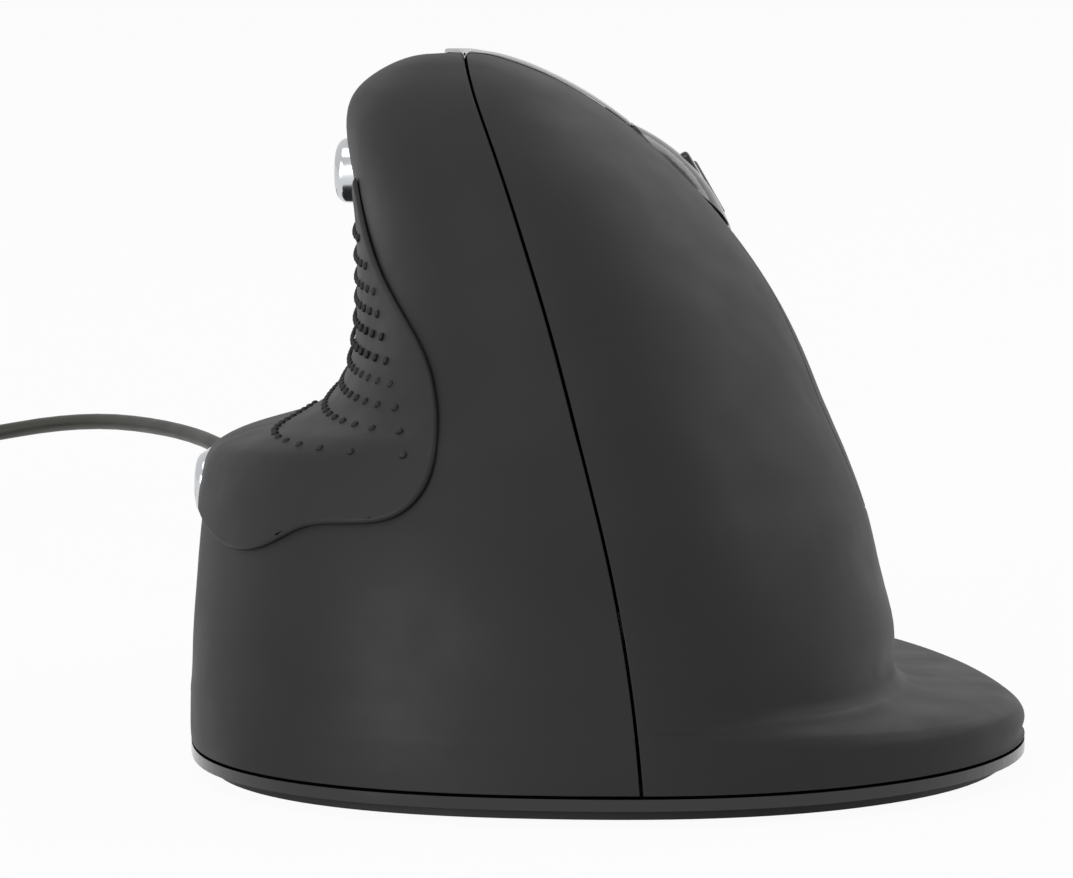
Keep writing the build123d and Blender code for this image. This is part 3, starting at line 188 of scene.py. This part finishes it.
MATERIALS["cord"] = finish_material(
    "cord_sheath", (0.03, 0.031, 0.024), (0.04, 0.041, 0.033), (0.4, 0.52), patch=0.01,
    grain=0.0003, depth=0.00001).material
MATERIALS["lead"] = finish_material(
    "lead_insulation", (0.2, 0.03, 0.02), (0.28, 0.05, 0.03), (0.35, 0.45), patch=0.004).material
MATERIALS["lens"] = finish_material(
    "clear_lens", grey(0.88), grey(0.93), (0.03, 0.1), patch=0.002, depth=0.0000003,
    Transmission_Weight=0.9, IOR=1.49).material
MATERIALS["led"] = finish_material(
    "red_lamp", (0.75, 0.12, 0.1), (0.85, 0.18, 0.14), (0.05, 0.12), patch=0.001,
    depth=0.0000003, Transmission_Weight=0.6, IOR=1.5).material


def brushed(name, dark, light, rough, stretch):
    """Metal with fine lines along one axis."""
    graph = finish_material(name, dark, light, rough, Metallic=1.0)
    lines = graph.noise(BRUSH_SIZE, LINE_DETAIL, stretch)
    graph.join(graph.spread(lines, *rough), graph.shader.inputs["Roughness"])
    graph.bump([(lines, BRUSH_DEPTH)])
    return graph.material


MATERIALS["trim"] = brushed("silver_trim", grey(0.5), grey(0.62), (0.25, 0.4), (1, 40, 1))
MATERIALS["steel"] = brushed("turned_steel", grey(0.42), grey(0.55), (0.2, 0.38), (1, 1, 20))


def laminate():
    """Green board with tracks under its lacquer."""
    graph = Graph("board_laminate")
    cells = graph.add("ShaderNodeTexVoronoi", distance="CHEBYCHEV", feature="DISTANCE_TO_EDGE")
    cells.inputs["Scale"].default_value = TRACK_DENSITY
    graph.join(graph.coords, cells.inputs["Vector"])
    tracks = graph.spread(cells.outputs["Distance"], 0, 1, TRACK_LOW, TRACK_HIGH)
    mix = graph.add("ShaderNodeMix", data_type="RGBA")
    graph.join(tracks, mix.inputs["Factor"])
    mix.inputs[MIX_FIRST].default_value = BOARD_COLOUR
    mix.inputs[MIX_SECOND].default_value = TRACK_COLOUR
    graph.join(mix.outputs[MIX_OUT], graph.shader.inputs["Base Color"])
    graph.join(graph.spread(graph.noise(BOARD_PATCH), *BOARD_ROUGH), graph.shader.inputs["Roughness"])
    graph.bump([(tracks, TRACK_DEPTH)])
    return graph.material


def woven():
    """Strap of hook tape: two crossed waves."""
    graph = finish_material("strap_weave", grey(0.015), grey(0.024), (0.7, 0.85), patch=0.003)
    heights = []
    for direction in ("X", "Z"):
        wave = graph.add("ShaderNodeTexWave", bands_direction=direction)
        wave.inputs["Scale"].default_value = WEAVE_DENSITY
        graph.join(graph.coords, wave.inputs["Vector"])
        heights.append((wave.outputs["Fac"], WEAVE_DEPTH))
    graph.bump(heights)
    return graph.material


MATERIALS["board"] = laminate()
MATERIALS["strap"] = woven()

slot_of = {}
for row in frame["record"]["subparts"]:
    slot_of[row["node"]] = row["material_slot"]
for name, node in nodes.items():
    node.data.materials.clear()
    node.data.materials.append(MATERIALS[slot_of[name]])

body_of = {}
for body, members in frame["record"]["behaviour"]["bodies"].items():
    for member in members:
        body_of[member] = body

# Form of the body, as the part's own source has it: shares of the half sizes at levels of the height

HALF_LENGTH, HALF_WIDTH = 59.5, 42.2
BODY_TOP, SHELL_FOOT = 70.6, 3.2
LEVELS = (0, 0.02, 0.04, 0.053, 0.064, 0.074, 0.089, 0.13, 0.22, 0.31, 0.377, 0.418,
          0.442, 0.46, 0.487, 0.531, 0.635, 0.754, 0.828, 0.887, 0.932, 0.967, 0.99, 1)
LEFT = (-1, -1.002, -1.002, -1.002, -1.002, -1.002, -1, -0.998, -0.99, -0.979, -0.964, -0.934,
        -0.84, -0.735, -0.66, -0.614, -0.595, -0.604, -0.626, -0.64, -0.626, -0.569, -0.488, -0.37)
RIGHT = (1, 0.998, 0.99, 0.957, 0.82, 0.716, 0.692, 0.687, 0.663, 0.63, 0.595, 0.569,
         0.552, 0.54, 0.521, 0.493, 0.412, 0.275, 0.164, 0.057, -0.047, -0.156, -0.26, -0.35)
RIDGE = (0.07, 0.066, 0.062, 0.057, 0.055, 0.054, 0.052, 0.043, 0.024, -0.005, -0.031, -0.047,
         -0.057, -0.064, -0.076, -0.095, -0.142, -0.204, -0.246, -0.282, -0.308, -0.332, -0.348, -0.36)
REAR = (-1, -0.998, -0.995, -0.993, -0.99, -0.988, -0.985, -0.978, -0.955, -0.918, -0.879, -0.854,
        -0.839, -0.827, -0.807, -0.77, -0.669, -0.533, -0.43, -0.331, -0.242, -0.155, -0.071, 0.075)
FRONT = (1, 0.998, 0.997, 0.995, 0.992, 0.99, 0.988, 0.985, 0.971, 0.951, 0.929, 0.916,
         0.908, 0.901, 0.889, 0.867, 0.807, 0.711, 0.632, 0.548, 0.467, 0.378, 0.286, 0.11)
MIDDLE_FOOT, MIDDLE_CLIMB, MIDDLE_POWER = -0.336, 0.429, 1.3
NOSE_SLOPE, NOSE_LEVEL = 0.07, 0.12
ROUND_POWER, THUMB_POWER, NOSE_POWER, LEDGE_POWER = 2.0, 2.5, 2.2, 1.55
RING_STEPS = 720
LEVEL_STEPS = 12
CROWN_LEVEL = 0.999
LEAST_LENGTH = 1e-12


def smooth_value(table, level):
    """Even interpolation of a table over the levels, without overshoot."""
    slopes = [(b - a) / (q - p) for p, q, a, b in zip(LEVELS, LEVELS[1:], table, table[1:])]
    tangents = [slopes[0]]
    for before, after in zip(slopes, slopes[1:]):
        tangents.append(2 * before * after / (before + after) if before * after > 0 else 0)
    tangents.append(slopes[-1])
    k = max(i for i in range(len(slopes)) if LEVELS[i] <= level)
    span = LEVELS[k + 1] - LEVELS[k]
    t = (level - LEVELS[k]) / span
    value = (1 + 2 * t) * (1 - t) ** 2 * table[k] + t * t * (3 - 2 * t) * table[k + 1]
    return value + t * (1 - t) * span * ((1 - t) * tangents[k] - t * tangents[k + 1])


def ring(level, inset):
    """Closed outline of the body at a level, in metres, drawn in by an inset in millimetres."""
    ridge = HALF_WIDTH * smooth_value(RIDGE, level)
    left = HALF_WIDTH * smooth_value(LEFT, level) + inset
    right = HALF_WIDTH * smooth_value(RIGHT, level) - inset
    rear = HALF_LENGTH * smooth_value(REAR, level) + inset
    front = HALF_LENGTH * smooth_value(FRONT, level) - inset
    middle = HALF_LENGTH * (MIDDLE_FOOT + MIDDLE_CLIMB * level ** MIDDLE_POWER)
    share = min(level / NOSE_LEVEL, 1)
    nose = LEDGE_POWER + (NOSE_POWER - LEDGE_POWER) * share * share * (3 - 2 * share)
    angle = np.arange(RING_STEPS) * 2 * math.pi / RING_STEPS
    across, along = np.cos(angle), np.sin(angle)
    reach_x = np.where(across > 0, right - ridge, ridge - left)
    reach_y = np.where(along > 0, front - middle, middle - rear)
    ahead = np.where(across > 0, nose, NOSE_POWER)
    behind = np.where(across > 0, ROUND_POWER, THUMB_POWER)
    power = np.where(along > 0, ahead, behind)
    x = ridge + reach_x * np.sign(across) * np.abs(across) ** (2 / power)
    shift = reach_y * np.sign(along) * np.abs(along) ** (2 / power)
    z = SHELL_FOOT + (BODY_TOP - SHELL_FOOT - inset) * level - NOSE_SLOPE * share * shift
    return np.stack([x, middle + shift, z], axis=1) * MM


class Skin:
    """Fine model of the body's skin: the nearest point on it and the skin's direction there."""

    def __init__(self, inset):
        levels = []
        for low, high in zip(LEVELS, LEVELS[1:]):
            levels += [low + (high - low) * k / LEVEL_STEPS for k in range(LEVEL_STEPS)]
        levels = [level for level in levels if level < CROWN_LEVEL] + [CROWN_LEVEL]
        rings = np.array([ring(level, inset) for level in levels])
        along = np.roll(rings, -1, axis=1) - np.roll(rings, 1, axis=1)
        normals = np.cross(along, np.gradient(rings, axis=0))
        normals /= np.maximum(np.linalg.norm(normals, axis=2, keepdims=True), LEAST_LENGTH)
        self.points = [Vector(p) for p in rings.reshape(-1, 3)]
        self.normals = [Vector(n) for n in normals.reshape(-1, 3)]
        self.quads = []
        for i in range(len(levels) - 1):
            for j in range(RING_STEPS):
                k = (j + 1) % RING_STEPS
                self.quads.append((i * RING_STEPS + j, i * RING_STEPS + k,
                                   (i + 1) * RING_STEPS + k, (i + 1) * RING_STEPS + j))
        start = len(self.points) - RING_STEPS
        self.points.append(Vector(rings[-1].mean(axis=0)))
        self.normals.append(Vector((0, 0, 1)))
        top = len(self.points) - 1
        for j in range(RING_STEPS):
            self.quads.append((start + j, start + (j + 1) % RING_STEPS, top))
        self.tree = BVHTree.FromPolygons(self.points, self.quads)

    def at(self, point):
        """Nearest place on the skin, the outward direction there, and how far it is."""
        place, _, number, far = self.tree.find_nearest(point)
        corners = self.quads[number]
        shares = poly_3d_calc([self.points[c] for c in corners], place)
        normal = Vector((0, 0, 0))
        for share, corner in zip(shares, corners):
            normal += self.normals[corner] * share
        return place, normal.normalized(), far


# how far the grip and the strip stand out of the skin
OVERLAY_MM, TRIM_MM = 0.6, 0.3
skin = Skin(0)
overlay = Skin(-OVERLAY_MM)
trim_skin = Skin(-TRIM_MM)

# Pieces made from the part's own meshes, with rounded rims and an even skin

WELD = 0.000001
SMOOTH_TURN = math.cos(math.radians(32))
# how near the skin a face lies, and how it faces, to be part of it
NEAR_SKIN, SKIN_TURN = 0.0004, 0.3
SLIVER, SLIVER_TURNS = 0.00008, 3
RIM_STEPS = 4
LEAST_INWARD, LEAST_SHARE = 1e-6, 0.6


def welded(node):
    """Mesh of a node with its split corners joined."""
    bm = bmesh.new()
    bm.from_mesh(nodes[node].data)
    bmesh.ops.remove_doubles(bm, verts=bm.verts, dist=WELD)
    bm.verts.index_update()
    bm.faces.ensure_lookup_table()
    bm.normal_update()
    return bm


def corner_normals(bm, faces):
    """Direction of each corner of each face, smooth across edges that turn a little."""
    normals = {}
    allowed = set(faces)
    for face in faces:
        for vert in face.verts:
            total = Vector((0, 0, 0))
            for other in vert.link_faces:
                if other in allowed and other.normal.dot(face.normal) > SMOOTH_TURN:
                    total += other.normal * other.calc_area()
            normals[face.index, vert.index] = total.normalized() if total.length > 0 else face.normal.copy()
    return normals


def add_piece(name, verts, faces, normals, node):
    """A mesh piece that stands for a node, on the node's body, with the directions given for its corners."""
    mesh = bpy.data.meshes.new(name)
    mesh.from_pydata(verts, [], faces)
    mesh.polygons.foreach_set("use_smooth", [True] * len(faces))
    if normals:
        mesh.normals_split_custom_set(normals)
    mesh.update()
    obj = bpy.data.objects.new(name, mesh)
    bpy.context.scene.collection.objects.link(obj)
    slot = slot_of[node]
    mesh.materials.append(MATERIALS[slot])
    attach(obj, body_of[node])
    return obj


def smooth_piece(node, name):
    """Piece with the node's own shape, smooth where the shape is round and crisp at its edges."""
    bm = welded(node)
    normals = corner_normals(bm, list(bm.faces))
    verts = [tuple(v.co) for v in bm.verts]
    faces = [[v.index for v in f.verts] for f in bm.faces]
    corners = [normals[f.index, v.index] for f in bm.faces for v in f.verts]
    bm.free()
    obj = add_piece(name, verts, faces, corners, node)
    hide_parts(node)
    return obj


def press_onto(bm, surface):
    """Bring whatever stands out of a surface down onto it."""
    for vert in bm.verts:
        place, out, _ = surface.at(vert.co)
        if (vert.co - place).dot(out) > 0:
            vert.co = place
    bm.normal_update()


def outer_faces(bm, found):
    """Faces of the outer skin. A sliver takes the side of most of the faces round it."""
    outer = set()
    for face in bm.faces:
        if all(found[v.index][2] < NEAR_SKIN for v in face.verts):
            facing = sum((found[v.index][1] for v in face.verts), Vector((0, 0, 0))).normalized()
            if face.normal.dot(facing) > SKIN_TURN:
                outer.add(face)
    for _ in range(SLIVER_TURNS):
        for face in bm.faces:
            longest = max(e.calc_length() for e in face.edges)
            if face in outer or 2 * face.calc_area() / longest > SLIVER:
                continue
            if any(found[v.index][2] > NEAR_SKIN for v in face.verts):
                continue
            beside = [o for e in face.edges for o in e.link_faces if o is not face]
            if sum(o in outer for o in beside) > len(beside) / 2:
                outer.add(face)
    return outer


def skin_borders(bm, outer, found):
    """Edges where the outer skin ends, and the ways inward from each of their corners."""
    borders, ways = [], {}
    for edge in bm.edges:
        if len(edge.link_faces) != 2:
            continue
        first, second = edge.link_faces
        if (first in outer) == (second in outer):
            continue
        face = first if first in outer else second
        a, b = next((l.vert, l.link_loop_next.vert) for l in face.loops if l.edge == edge)
        inward = (found[a.index][1] + found[b.index][1]).normalized().cross(b.co - a.co)
        if inward.length == 0:
            continue
        inward.normalize()
        borders.append((a.index, b.index))
        for vert in (a, b):
            ways.setdefault(vert.index, []).append(inward)
    return borders, ways


def roll_over(verts, ways, rim, surface):
    """Row of points for each corner of a border, from its side round onto the skin, and their directions."""
    rows, directions = {}, {}
    for index, parts in ways.items():
        place = verts[index].copy()
        total = sum(parts, Vector((0, 0, 0)))
        if total.length < LEAST_INWARD:
            total = parts[0]
        inward = total.normalized()
        reach = 1 / max(LEAST_SHARE, sum(inward.dot(part) for part in parts) / len(parts))
        rows[index], directions[index] = [], []
        for k in range(RIM_STEPS + 1):
            turn = math.pi / 2 * k / RIM_STEPS
            aside, under = rim * (1 - math.cos(turn)) * reach, rim * (1 - math.sin(turn))
            on, out, _ = surface.at(place + inward * aside)
            if k:
                rows[index].append(len(verts))
                verts.append(on - out * under)
            else:
                rows[index].append(index)
                verts[index] = place - out * under
            directions[index].append((out * math.sin(turn) - inward * math.cos(turn)).normalized())
    return rows, directions


def skin_piece(node, name, rim, surface, press=False):
    """Piece with the node's shape, whose outer skin is even and rolls over into its sides by a rim."""
    bm = welded(node)
    if press:
        press_onto(bm, surface)
    found = [surface.at(v.co) for v in bm.verts]
    outer = outer_faces(bm, found)
    borders, ways = skin_borders(bm, outer, found)
    verts = [Vector(v.co) for v in bm.verts]
    rows, directions = roll_over(verts, ways, rim, surface)
    plain = corner_normals(bm, [f for f in bm.faces if f not in outer])
    faces, corners = [], []
    for face in bm.faces:
        if face in outer:
            faces.append([rows[v.index][-1] if v.index in rows else v.index for v in face.verts])
            corners += [directions[v.index][-1] if v.index in rows else found[v.index][1] for v in face.verts]
        else:
            faces.append([v.index for v in face.verts])
            corners += [plain[face.index, v.index] for v in face.verts]
    for a, b in borders:
        for k in range(RIM_STEPS):
            faces.append([rows[b][k + 1], rows[a][k + 1], rows[a][k], rows[b][k]])
            corners += [directions[b][k + 1], directions[a][k + 1], directions[a][k], directions[b][k]]
    bm.free()
    obj = add_piece(name, [tuple(v) for v in verts], faces, corners, node)
    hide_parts(node)
    return obj


SHELL_RIM, PAD_RIM, TRIM_RIM, BUTTON_RIM = 0.00009, 0.00042, 0.0002, 0.00012
skin_piece("palm_shell", "palm_shell_moulding", SHELL_RIM, skin)
skin_piece("thumb_shell", "thumb_shell_moulding", SHELL_RIM, skin)
pad = skin_piece("thumb_pad", "thumb_pad_moulding", PAD_RIM, overlay)
skin_piece("top_trim", "top_trim_strip", TRIM_RIM, trim_skin, press=True)
skin_piece("index_button", "index_button_cap", BUTTON_RIM, skin)
skin_piece("middle_button", "middle_button_cap", BUTTON_RIM, skin)
for node in ("console_cover", "speed_button", "thumb_button_upper", "thumb_button_lower", "base_band",
             "base_plate", "wheel_tyre", "wheel_hub", "wheel_axle", "wheel_carrier", "usb_plug_grip",
             "usb_plug_shell"):
    smooth_piece(node, node + "_piece")

# Raised dots of the thumb pad: rows along the pad, each ending on a slanted line

DOT_RADIUS, DOT_RISE, DOT_ROOT = 0.00043, 0.00034, 0.00008
DOT_RINGS, DOT_SIDES = 4, 14
DOT_ENDS_PX = ((359, 238), (366, 266), (374, 291.6), (377.7, 314), (382, 337), (386, 361), (390, 384),
               (395, 408), (399.5, 431.5), (403, 455))
DOT_STEP_Y = 2.9
DOT_FRONT_Y = 12.0
DOT_ROW_COUNT_MAX = 16
# a dot is left out where the pad's edge rolls away from its skin
DOT_SEAT = 0.0003
LOOK_FROM_X = -0.06
pad_tree = BVHTree.FromPolygons([v.co for v in pad.data.vertices],
                                [list(p.vertices) for p in pad.data.polygons])


def seen_at(pixel):
    """Place on the pad, in millimetres, that the camera sees at a pixel of the photograph."""
    aim = Vector((pixel[0] - PHOTO_WIDTH / 2, PHOTO_HEIGHT / 2 - pixel[1], -FOCAL_PX))
    aim.rotate(camera.rotation_euler)
    return pad_tree.ray_cast(camera.location, aim.normalized())[0] / MM


def add_dot(verts, faces, base, normal):
    """A low dome on the pad, rooted a little in it."""
    tangent = normal.orthogonal().normalized()
    across = normal.cross(tangent)
    first = len(verts)
    for i in range(DOT_RINGS):
        lean = math.pi / 2 * i / DOT_RINGS
        out, up = DOT_RADIUS * math.cos(lean), DOT_RISE * math.sin(lean) - (0 if i else DOT_ROOT)
        for j in range(DOT_SIDES):
            turn = 2 * math.pi * j / DOT_SIDES
            verts.append(base + (tangent * math.cos(turn) + across * math.sin(turn)) * out + normal * up)
    verts.append(base + normal * DOT_RISE)
    for i in range(DOT_RINGS - 1):
        for j in range(DOT_SIDES):
            a, b = first + i * DOT_SIDES + j, first + i * DOT_SIDES + (j + 1) % DOT_SIDES
            faces.append([a, b, b + DOT_SIDES, a + DOT_SIDES])
    last = first + (DOT_RINGS - 1) * DOT_SIDES
    for j in range(DOT_SIDES):
        faces.append([last + j, last + (j + 1) % DOT_SIDES, first + DOT_RINGS * DOT_SIDES])
    faces.append([first + j for j in reversed(range(DOT_SIDES))])


def dots():
    """Rows of dots at even steps forward, each from the place where it ends in the photograph."""
    verts, faces = [], []
    for pixel in DOT_ENDS_PX:
        spot = seen_at(pixel)
        for k in range(DOT_ROW_COUNT_MAX):
            y = spot.y + k * DOT_STEP_Y
            if y > DOT_FRONT_Y:
                break
            place = pad_tree.ray_cast(Vector((LOOK_FROM_X, y * MM, spot.z * MM)), Vector((1, 0, 0)))[0]
            if place is None:
                continue
            base, normal, _ = overlay.at(place)
            if (base - place).length <= DOT_SEAT:
                add_dot(verts, faces, base, normal)
    return verts, faces


dot_verts, dot_faces = dots()
add_piece("thumb_pad_dots", [tuple(v) for v in dot_verts], dot_faces, None, "thumb_pad")

# Cord: one smooth line from the nose, round to the left, into a put-away coil

CORD_RADIUS, CORD_ROUND, CORD_STEPS = 1.0, 4, 6
COIL_X, COIL_Y, COIL_TOP_Z, COIL_LAYER = -100.0, 150.0, 9.9, 2.75
COIL_OUTER, HALF_PITCH = 17.8, 1.45
COIL_HALF_TURNS, COIL_LAYERS, COIL_POINTS = 8, 4, 8
EXIT = (1.8, 58.58, 11.5)
FREE_ROUTE = [EXIT, (1.8, 84, 11.6), (-18, 98, 12.4), (-43, 112, 14.6), (-51.5, 137, 15.2),
              (-66, 158.5, 14.2), (-84, 167.8, 9.9)]
TAIL_ROUTE = [(-117.075, 138.275, 1.65), (-117.075, 129.275, 3.8), (-117.075, 118.5, 3.8)]


def coil_points():
    """Points of the coil's turns: half circles that spiral in, and out again a layer lower."""
    points = []
    # the line runs inside its control points, so they stand a little further out
    grow = 2 / (math.cos(math.pi / 2 / COIL_POINTS) + 0.75 + 0.25 * math.cos(math.pi / COIL_POINTS))
    radius, side, step, height = COIL_OUTER, 1, -HALF_PITCH, COIL_TOP_Z
    for layer in range(COIL_LAYERS):
        for turn in range(COIL_HALF_TURNS):
            middle = COIL_Y + side * step / 2
            half = radius + step / 2
            last = layer == COIL_LAYERS - 1 and turn == COIL_HALF_TURNS - 1
            for k in range(COIL_POINTS // 2 if last else COIL_POINTS):
                angle = math.pi * (k + 0.5) / COIL_POINTS
                along = side * math.cos(angle)
                out = -side * math.sin(angle)
                points.append((COIL_X + out * half * grow, middle + along * half * grow, height))
            side = -side
            radius += step
        if layer < COIL_LAYERS - 1:
            half = radius
            for k in range(COIL_POINTS):
                angle = math.pi * (k + 0.5) / COIL_POINTS
                drop = COIL_LAYER * (k + 0.5) / COIL_POINTS
                points.append((COIL_X - side * math.sin(angle) * half * grow,
                               COIL_Y + side * math.cos(angle) * half * grow, height - drop))
            side = -side
            height -= COIL_LAYER
            step = -step
    return points


def cord_curve(name, points):
    """Round cable along a smooth line that the points draw towards them."""
    data = bpy.data.curves.new(name, "CURVE")
    data.dimensions = "3D"
    data.bevel_depth = CORD_RADIUS * MM
    data.bevel_resolution = CORD_ROUND
    data.use_fill_caps = True
    spline = data.splines.new("NURBS")
    spline.points.add(len(points) - 1)
    for point, place in zip(spline.points, points):
        point.co = (place[0] * MM, place[1] * MM, place[2] * MM, 1)
    spline.order_u = 3
    spline.use_endpoint_u = True
    spline.resolution_u = CORD_STEPS
    obj = bpy.data.objects.new(name, data)
    bpy.context.scene.collection.objects.link(obj)
    data.materials.append(MATERIALS["cord"])
    return obj


cord = cord_curve("cable", FREE_ROUTE + coil_points() + TAIL_ROUTE)
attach(cord, "case")
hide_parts("cable_free", "cable_coil", "cable_tail")

# Strain relief: a ring against the nose and a cone cut by fine grooves

RELIEF_BORE = 1.06
# the flange inside the shells: its radius and thickness
FLANGE_RADIUS, FLANGE_THICK = 3.7, 1.5
NECK_RADIUS, NECK_START = 2.25, 1.6
# the ring outside, from the skin outwards: (place, radius)
RELIEF_RING = ((0.02, 3.05), (0.2, 3.2), (1.4, 3.2), (1.6, 3.05))
# the cone, its grooves, and its rounded end counted back from the last point
CONE_START, CONE_END, CONE_RADIUS, CONE_SLOPE = 1.7, 1.2, 2.9, 1.25
GROOVES, GROOVE_SHARES = 5, ((0.1, 0), (0.45, 0), (0.55, 0.4), (0.9, 0.4))
GROOVE_FADE = 0.5
CONE_TIP = ((1.0, 1.5), (0.15, 1.45), (0, 1.3), (0, RELIEF_BORE))
RELIEF_SIDES = 40


def relief_profile():
    """Closed outline of the strain relief: places along the cord and their radii, in millimetres."""
    low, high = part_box("strain_relief")
    start, end, nose = low.y / MM, high.y / MM, EXIT[1]
    profile = [(start, RELIEF_BORE), (start, FLANGE_RADIUS), (start + FLANGE_THICK, FLANGE_RADIUS),
               (start + NECK_START, NECK_RADIUS), (nose, NECK_RADIUS)]
    profile += [(nose + place, radius) for place, radius in RELIEF_RING]
    first = nose + CONE_START
    for k in range(GROOVES):
        for share, cut in GROOVE_SHARES:
            t = (k + share) / GROOVES
            radius = CONE_RADIUS - CONE_SLOPE * t - cut * (1 - t * GROOVE_FADE)
            profile.append((first + (end - CONE_END - first) * t, radius))
    return profile + [(end - back, radius) for back, radius in CONE_TIP]


def turned(profile, sides):
    """Ring of faces from a closed outline, turned about the cord where it leaves the nose."""
    verts, faces = [], []
    for y, radius in profile:
        for j in range(sides):
            turn = 2 * math.pi * j / sides
            verts.append(((EXIT[0] + radius * math.cos(turn)) * MM, y * MM,
                          (EXIT[2] + radius * math.sin(turn)) * MM))
    for i in range(len(profile)):
        m = (i + 1) % len(profile)
        for j in range(sides):
            k = (j + 1) % sides
            faces.append([i * sides + j, m * sides + j, m * sides + k, i * sides + k])
    return verts, faces


relief_verts, relief_faces = turned(relief_profile(), RELIEF_SIDES)
relief = add_piece("strain_relief_boot", relief_verts, relief_faces, None, "strain_relief")
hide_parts("strain_relief")

# Floor and light

FLOOR_HALF, FLOOR_GREY = 12.0, 0.88
# how much of the floor's look is plain white, where the rest keeps the shadow
WHITE_SHARE = 0.95
WORLD_LIGHT = 0.38
# name, place, size, power in watts
LAMPS = (
    ("top_softbox", (-0.25, -0.35, 0.95), 0.7, 1.8),
    ("left_softbox", (-0.65, -0.8, 0.15), 0.5, 5.2),
    ("right_softbox", (0.9, 0.2, 0.6), 0.5, 1.5),
    ("rear_softbox", (0.5, 0.8, 0.7), 0.5, 0.9),
)
AIM = Vector((0, 0, 0.035))


def seen_ray(tree):
    """One for what is seen straight, in a reflection or through glass, nought for what only lights."""
    path = tree.nodes.new("ShaderNodeLightPath")
    either = path.outputs["Is Camera Ray"]
    for ray in ("Is Glossy Ray", "Is Transmission Ray"):
        larger = tree.nodes.new("ShaderNodeMath")
        larger.operation = "MAXIMUM"
        tree.links.new(either, larger.inputs[0])
        tree.links.new(path.outputs[ray], larger.inputs[1])
        either = larger.outputs[0]
    return either


def add_floor():
    """Wide white floor that keeps the object's shadow."""
    corners = [(-FLOOR_HALF, -FLOOR_HALF, 0), (FLOOR_HALF, -FLOOR_HALF, 0),
               (FLOOR_HALF, FLOOR_HALF, 0), (-FLOOR_HALF, FLOOR_HALF, 0)]
    mesh = bpy.data.meshes.new("floor")
    mesh.from_pydata(corners, [], [(0, 1, 2, 3)])
    obj = bpy.data.objects.new("floor", mesh)
    bpy.context.scene.collection.objects.link(obj)
    material = bpy.data.materials.new("floor_white")
    material.use_nodes = True
    tree = material.node_tree
    tree.nodes.clear()
    plain = tree.nodes.new("ShaderNodeBsdfDiffuse")
    plain.inputs["Color"].default_value = (*grey(FLOOR_GREY), 1)
    bright = tree.nodes.new("ShaderNodeEmission")
    bright.inputs["Color"].default_value = (1, 1, 1, 1)
    share = tree.nodes.new("ShaderNodeMath")
    share.operation = "MULTIPLY"
    share.inputs[1].default_value = WHITE_SHARE
    tree.links.new(seen_ray(tree), share.inputs[0])
    mix = tree.nodes.new("ShaderNodeMixShader")
    out = tree.nodes.new("ShaderNodeOutputMaterial")
    tree.links.new(share.outputs[0], mix.inputs[0])
    tree.links.new(plain.outputs[0], mix.inputs[1])
    tree.links.new(bright.outputs[0], mix.inputs[2])
    tree.links.new(mix.outputs[0], out.inputs["Surface"])
    mesh.materials.append(material)


def add_world():
    """Even light from all round, which looks white where it is seen."""
    world = bpy.data.worlds.new("studio")
    bpy.context.scene.world = world
    world.use_nodes = True
    tree = world.node_tree
    ground = tree.nodes["Background"]
    ground.inputs["Color"].default_value = (1, 1, 1, 1)
    ground.inputs["Strength"].default_value = WORLD_LIGHT
    white = tree.nodes.new("ShaderNodeBackground")
    white.inputs["Strength"].default_value = 1
    mix = tree.nodes.new("ShaderNodeMixShader")
    tree.links.new(seen_ray(tree), mix.inputs[0])
    tree.links.new(ground.outputs[0], mix.inputs[1])
    tree.links.new(white.outputs[0], mix.inputs[2])
    tree.links.new(mix.outputs[0], tree.nodes["World Output"].inputs["Surface"])


def add_lamps():
    for name, place, size, power in LAMPS:
        data = bpy.data.lights.new(name, "AREA")
        data.shape = "DISK"
        data.size = size
        data.energy = power
        obj = bpy.data.objects.new(name, data)
        bpy.context.scene.collection.objects.link(obj)
        obj.location = place
        obj.rotation_euler = (AIM - Vector(place)).to_track_quat("-Z", "Y").to_euler()


add_floor()
add_world()
add_lamps()
bpy.context.scene.view_settings.view_transform = "Standard"
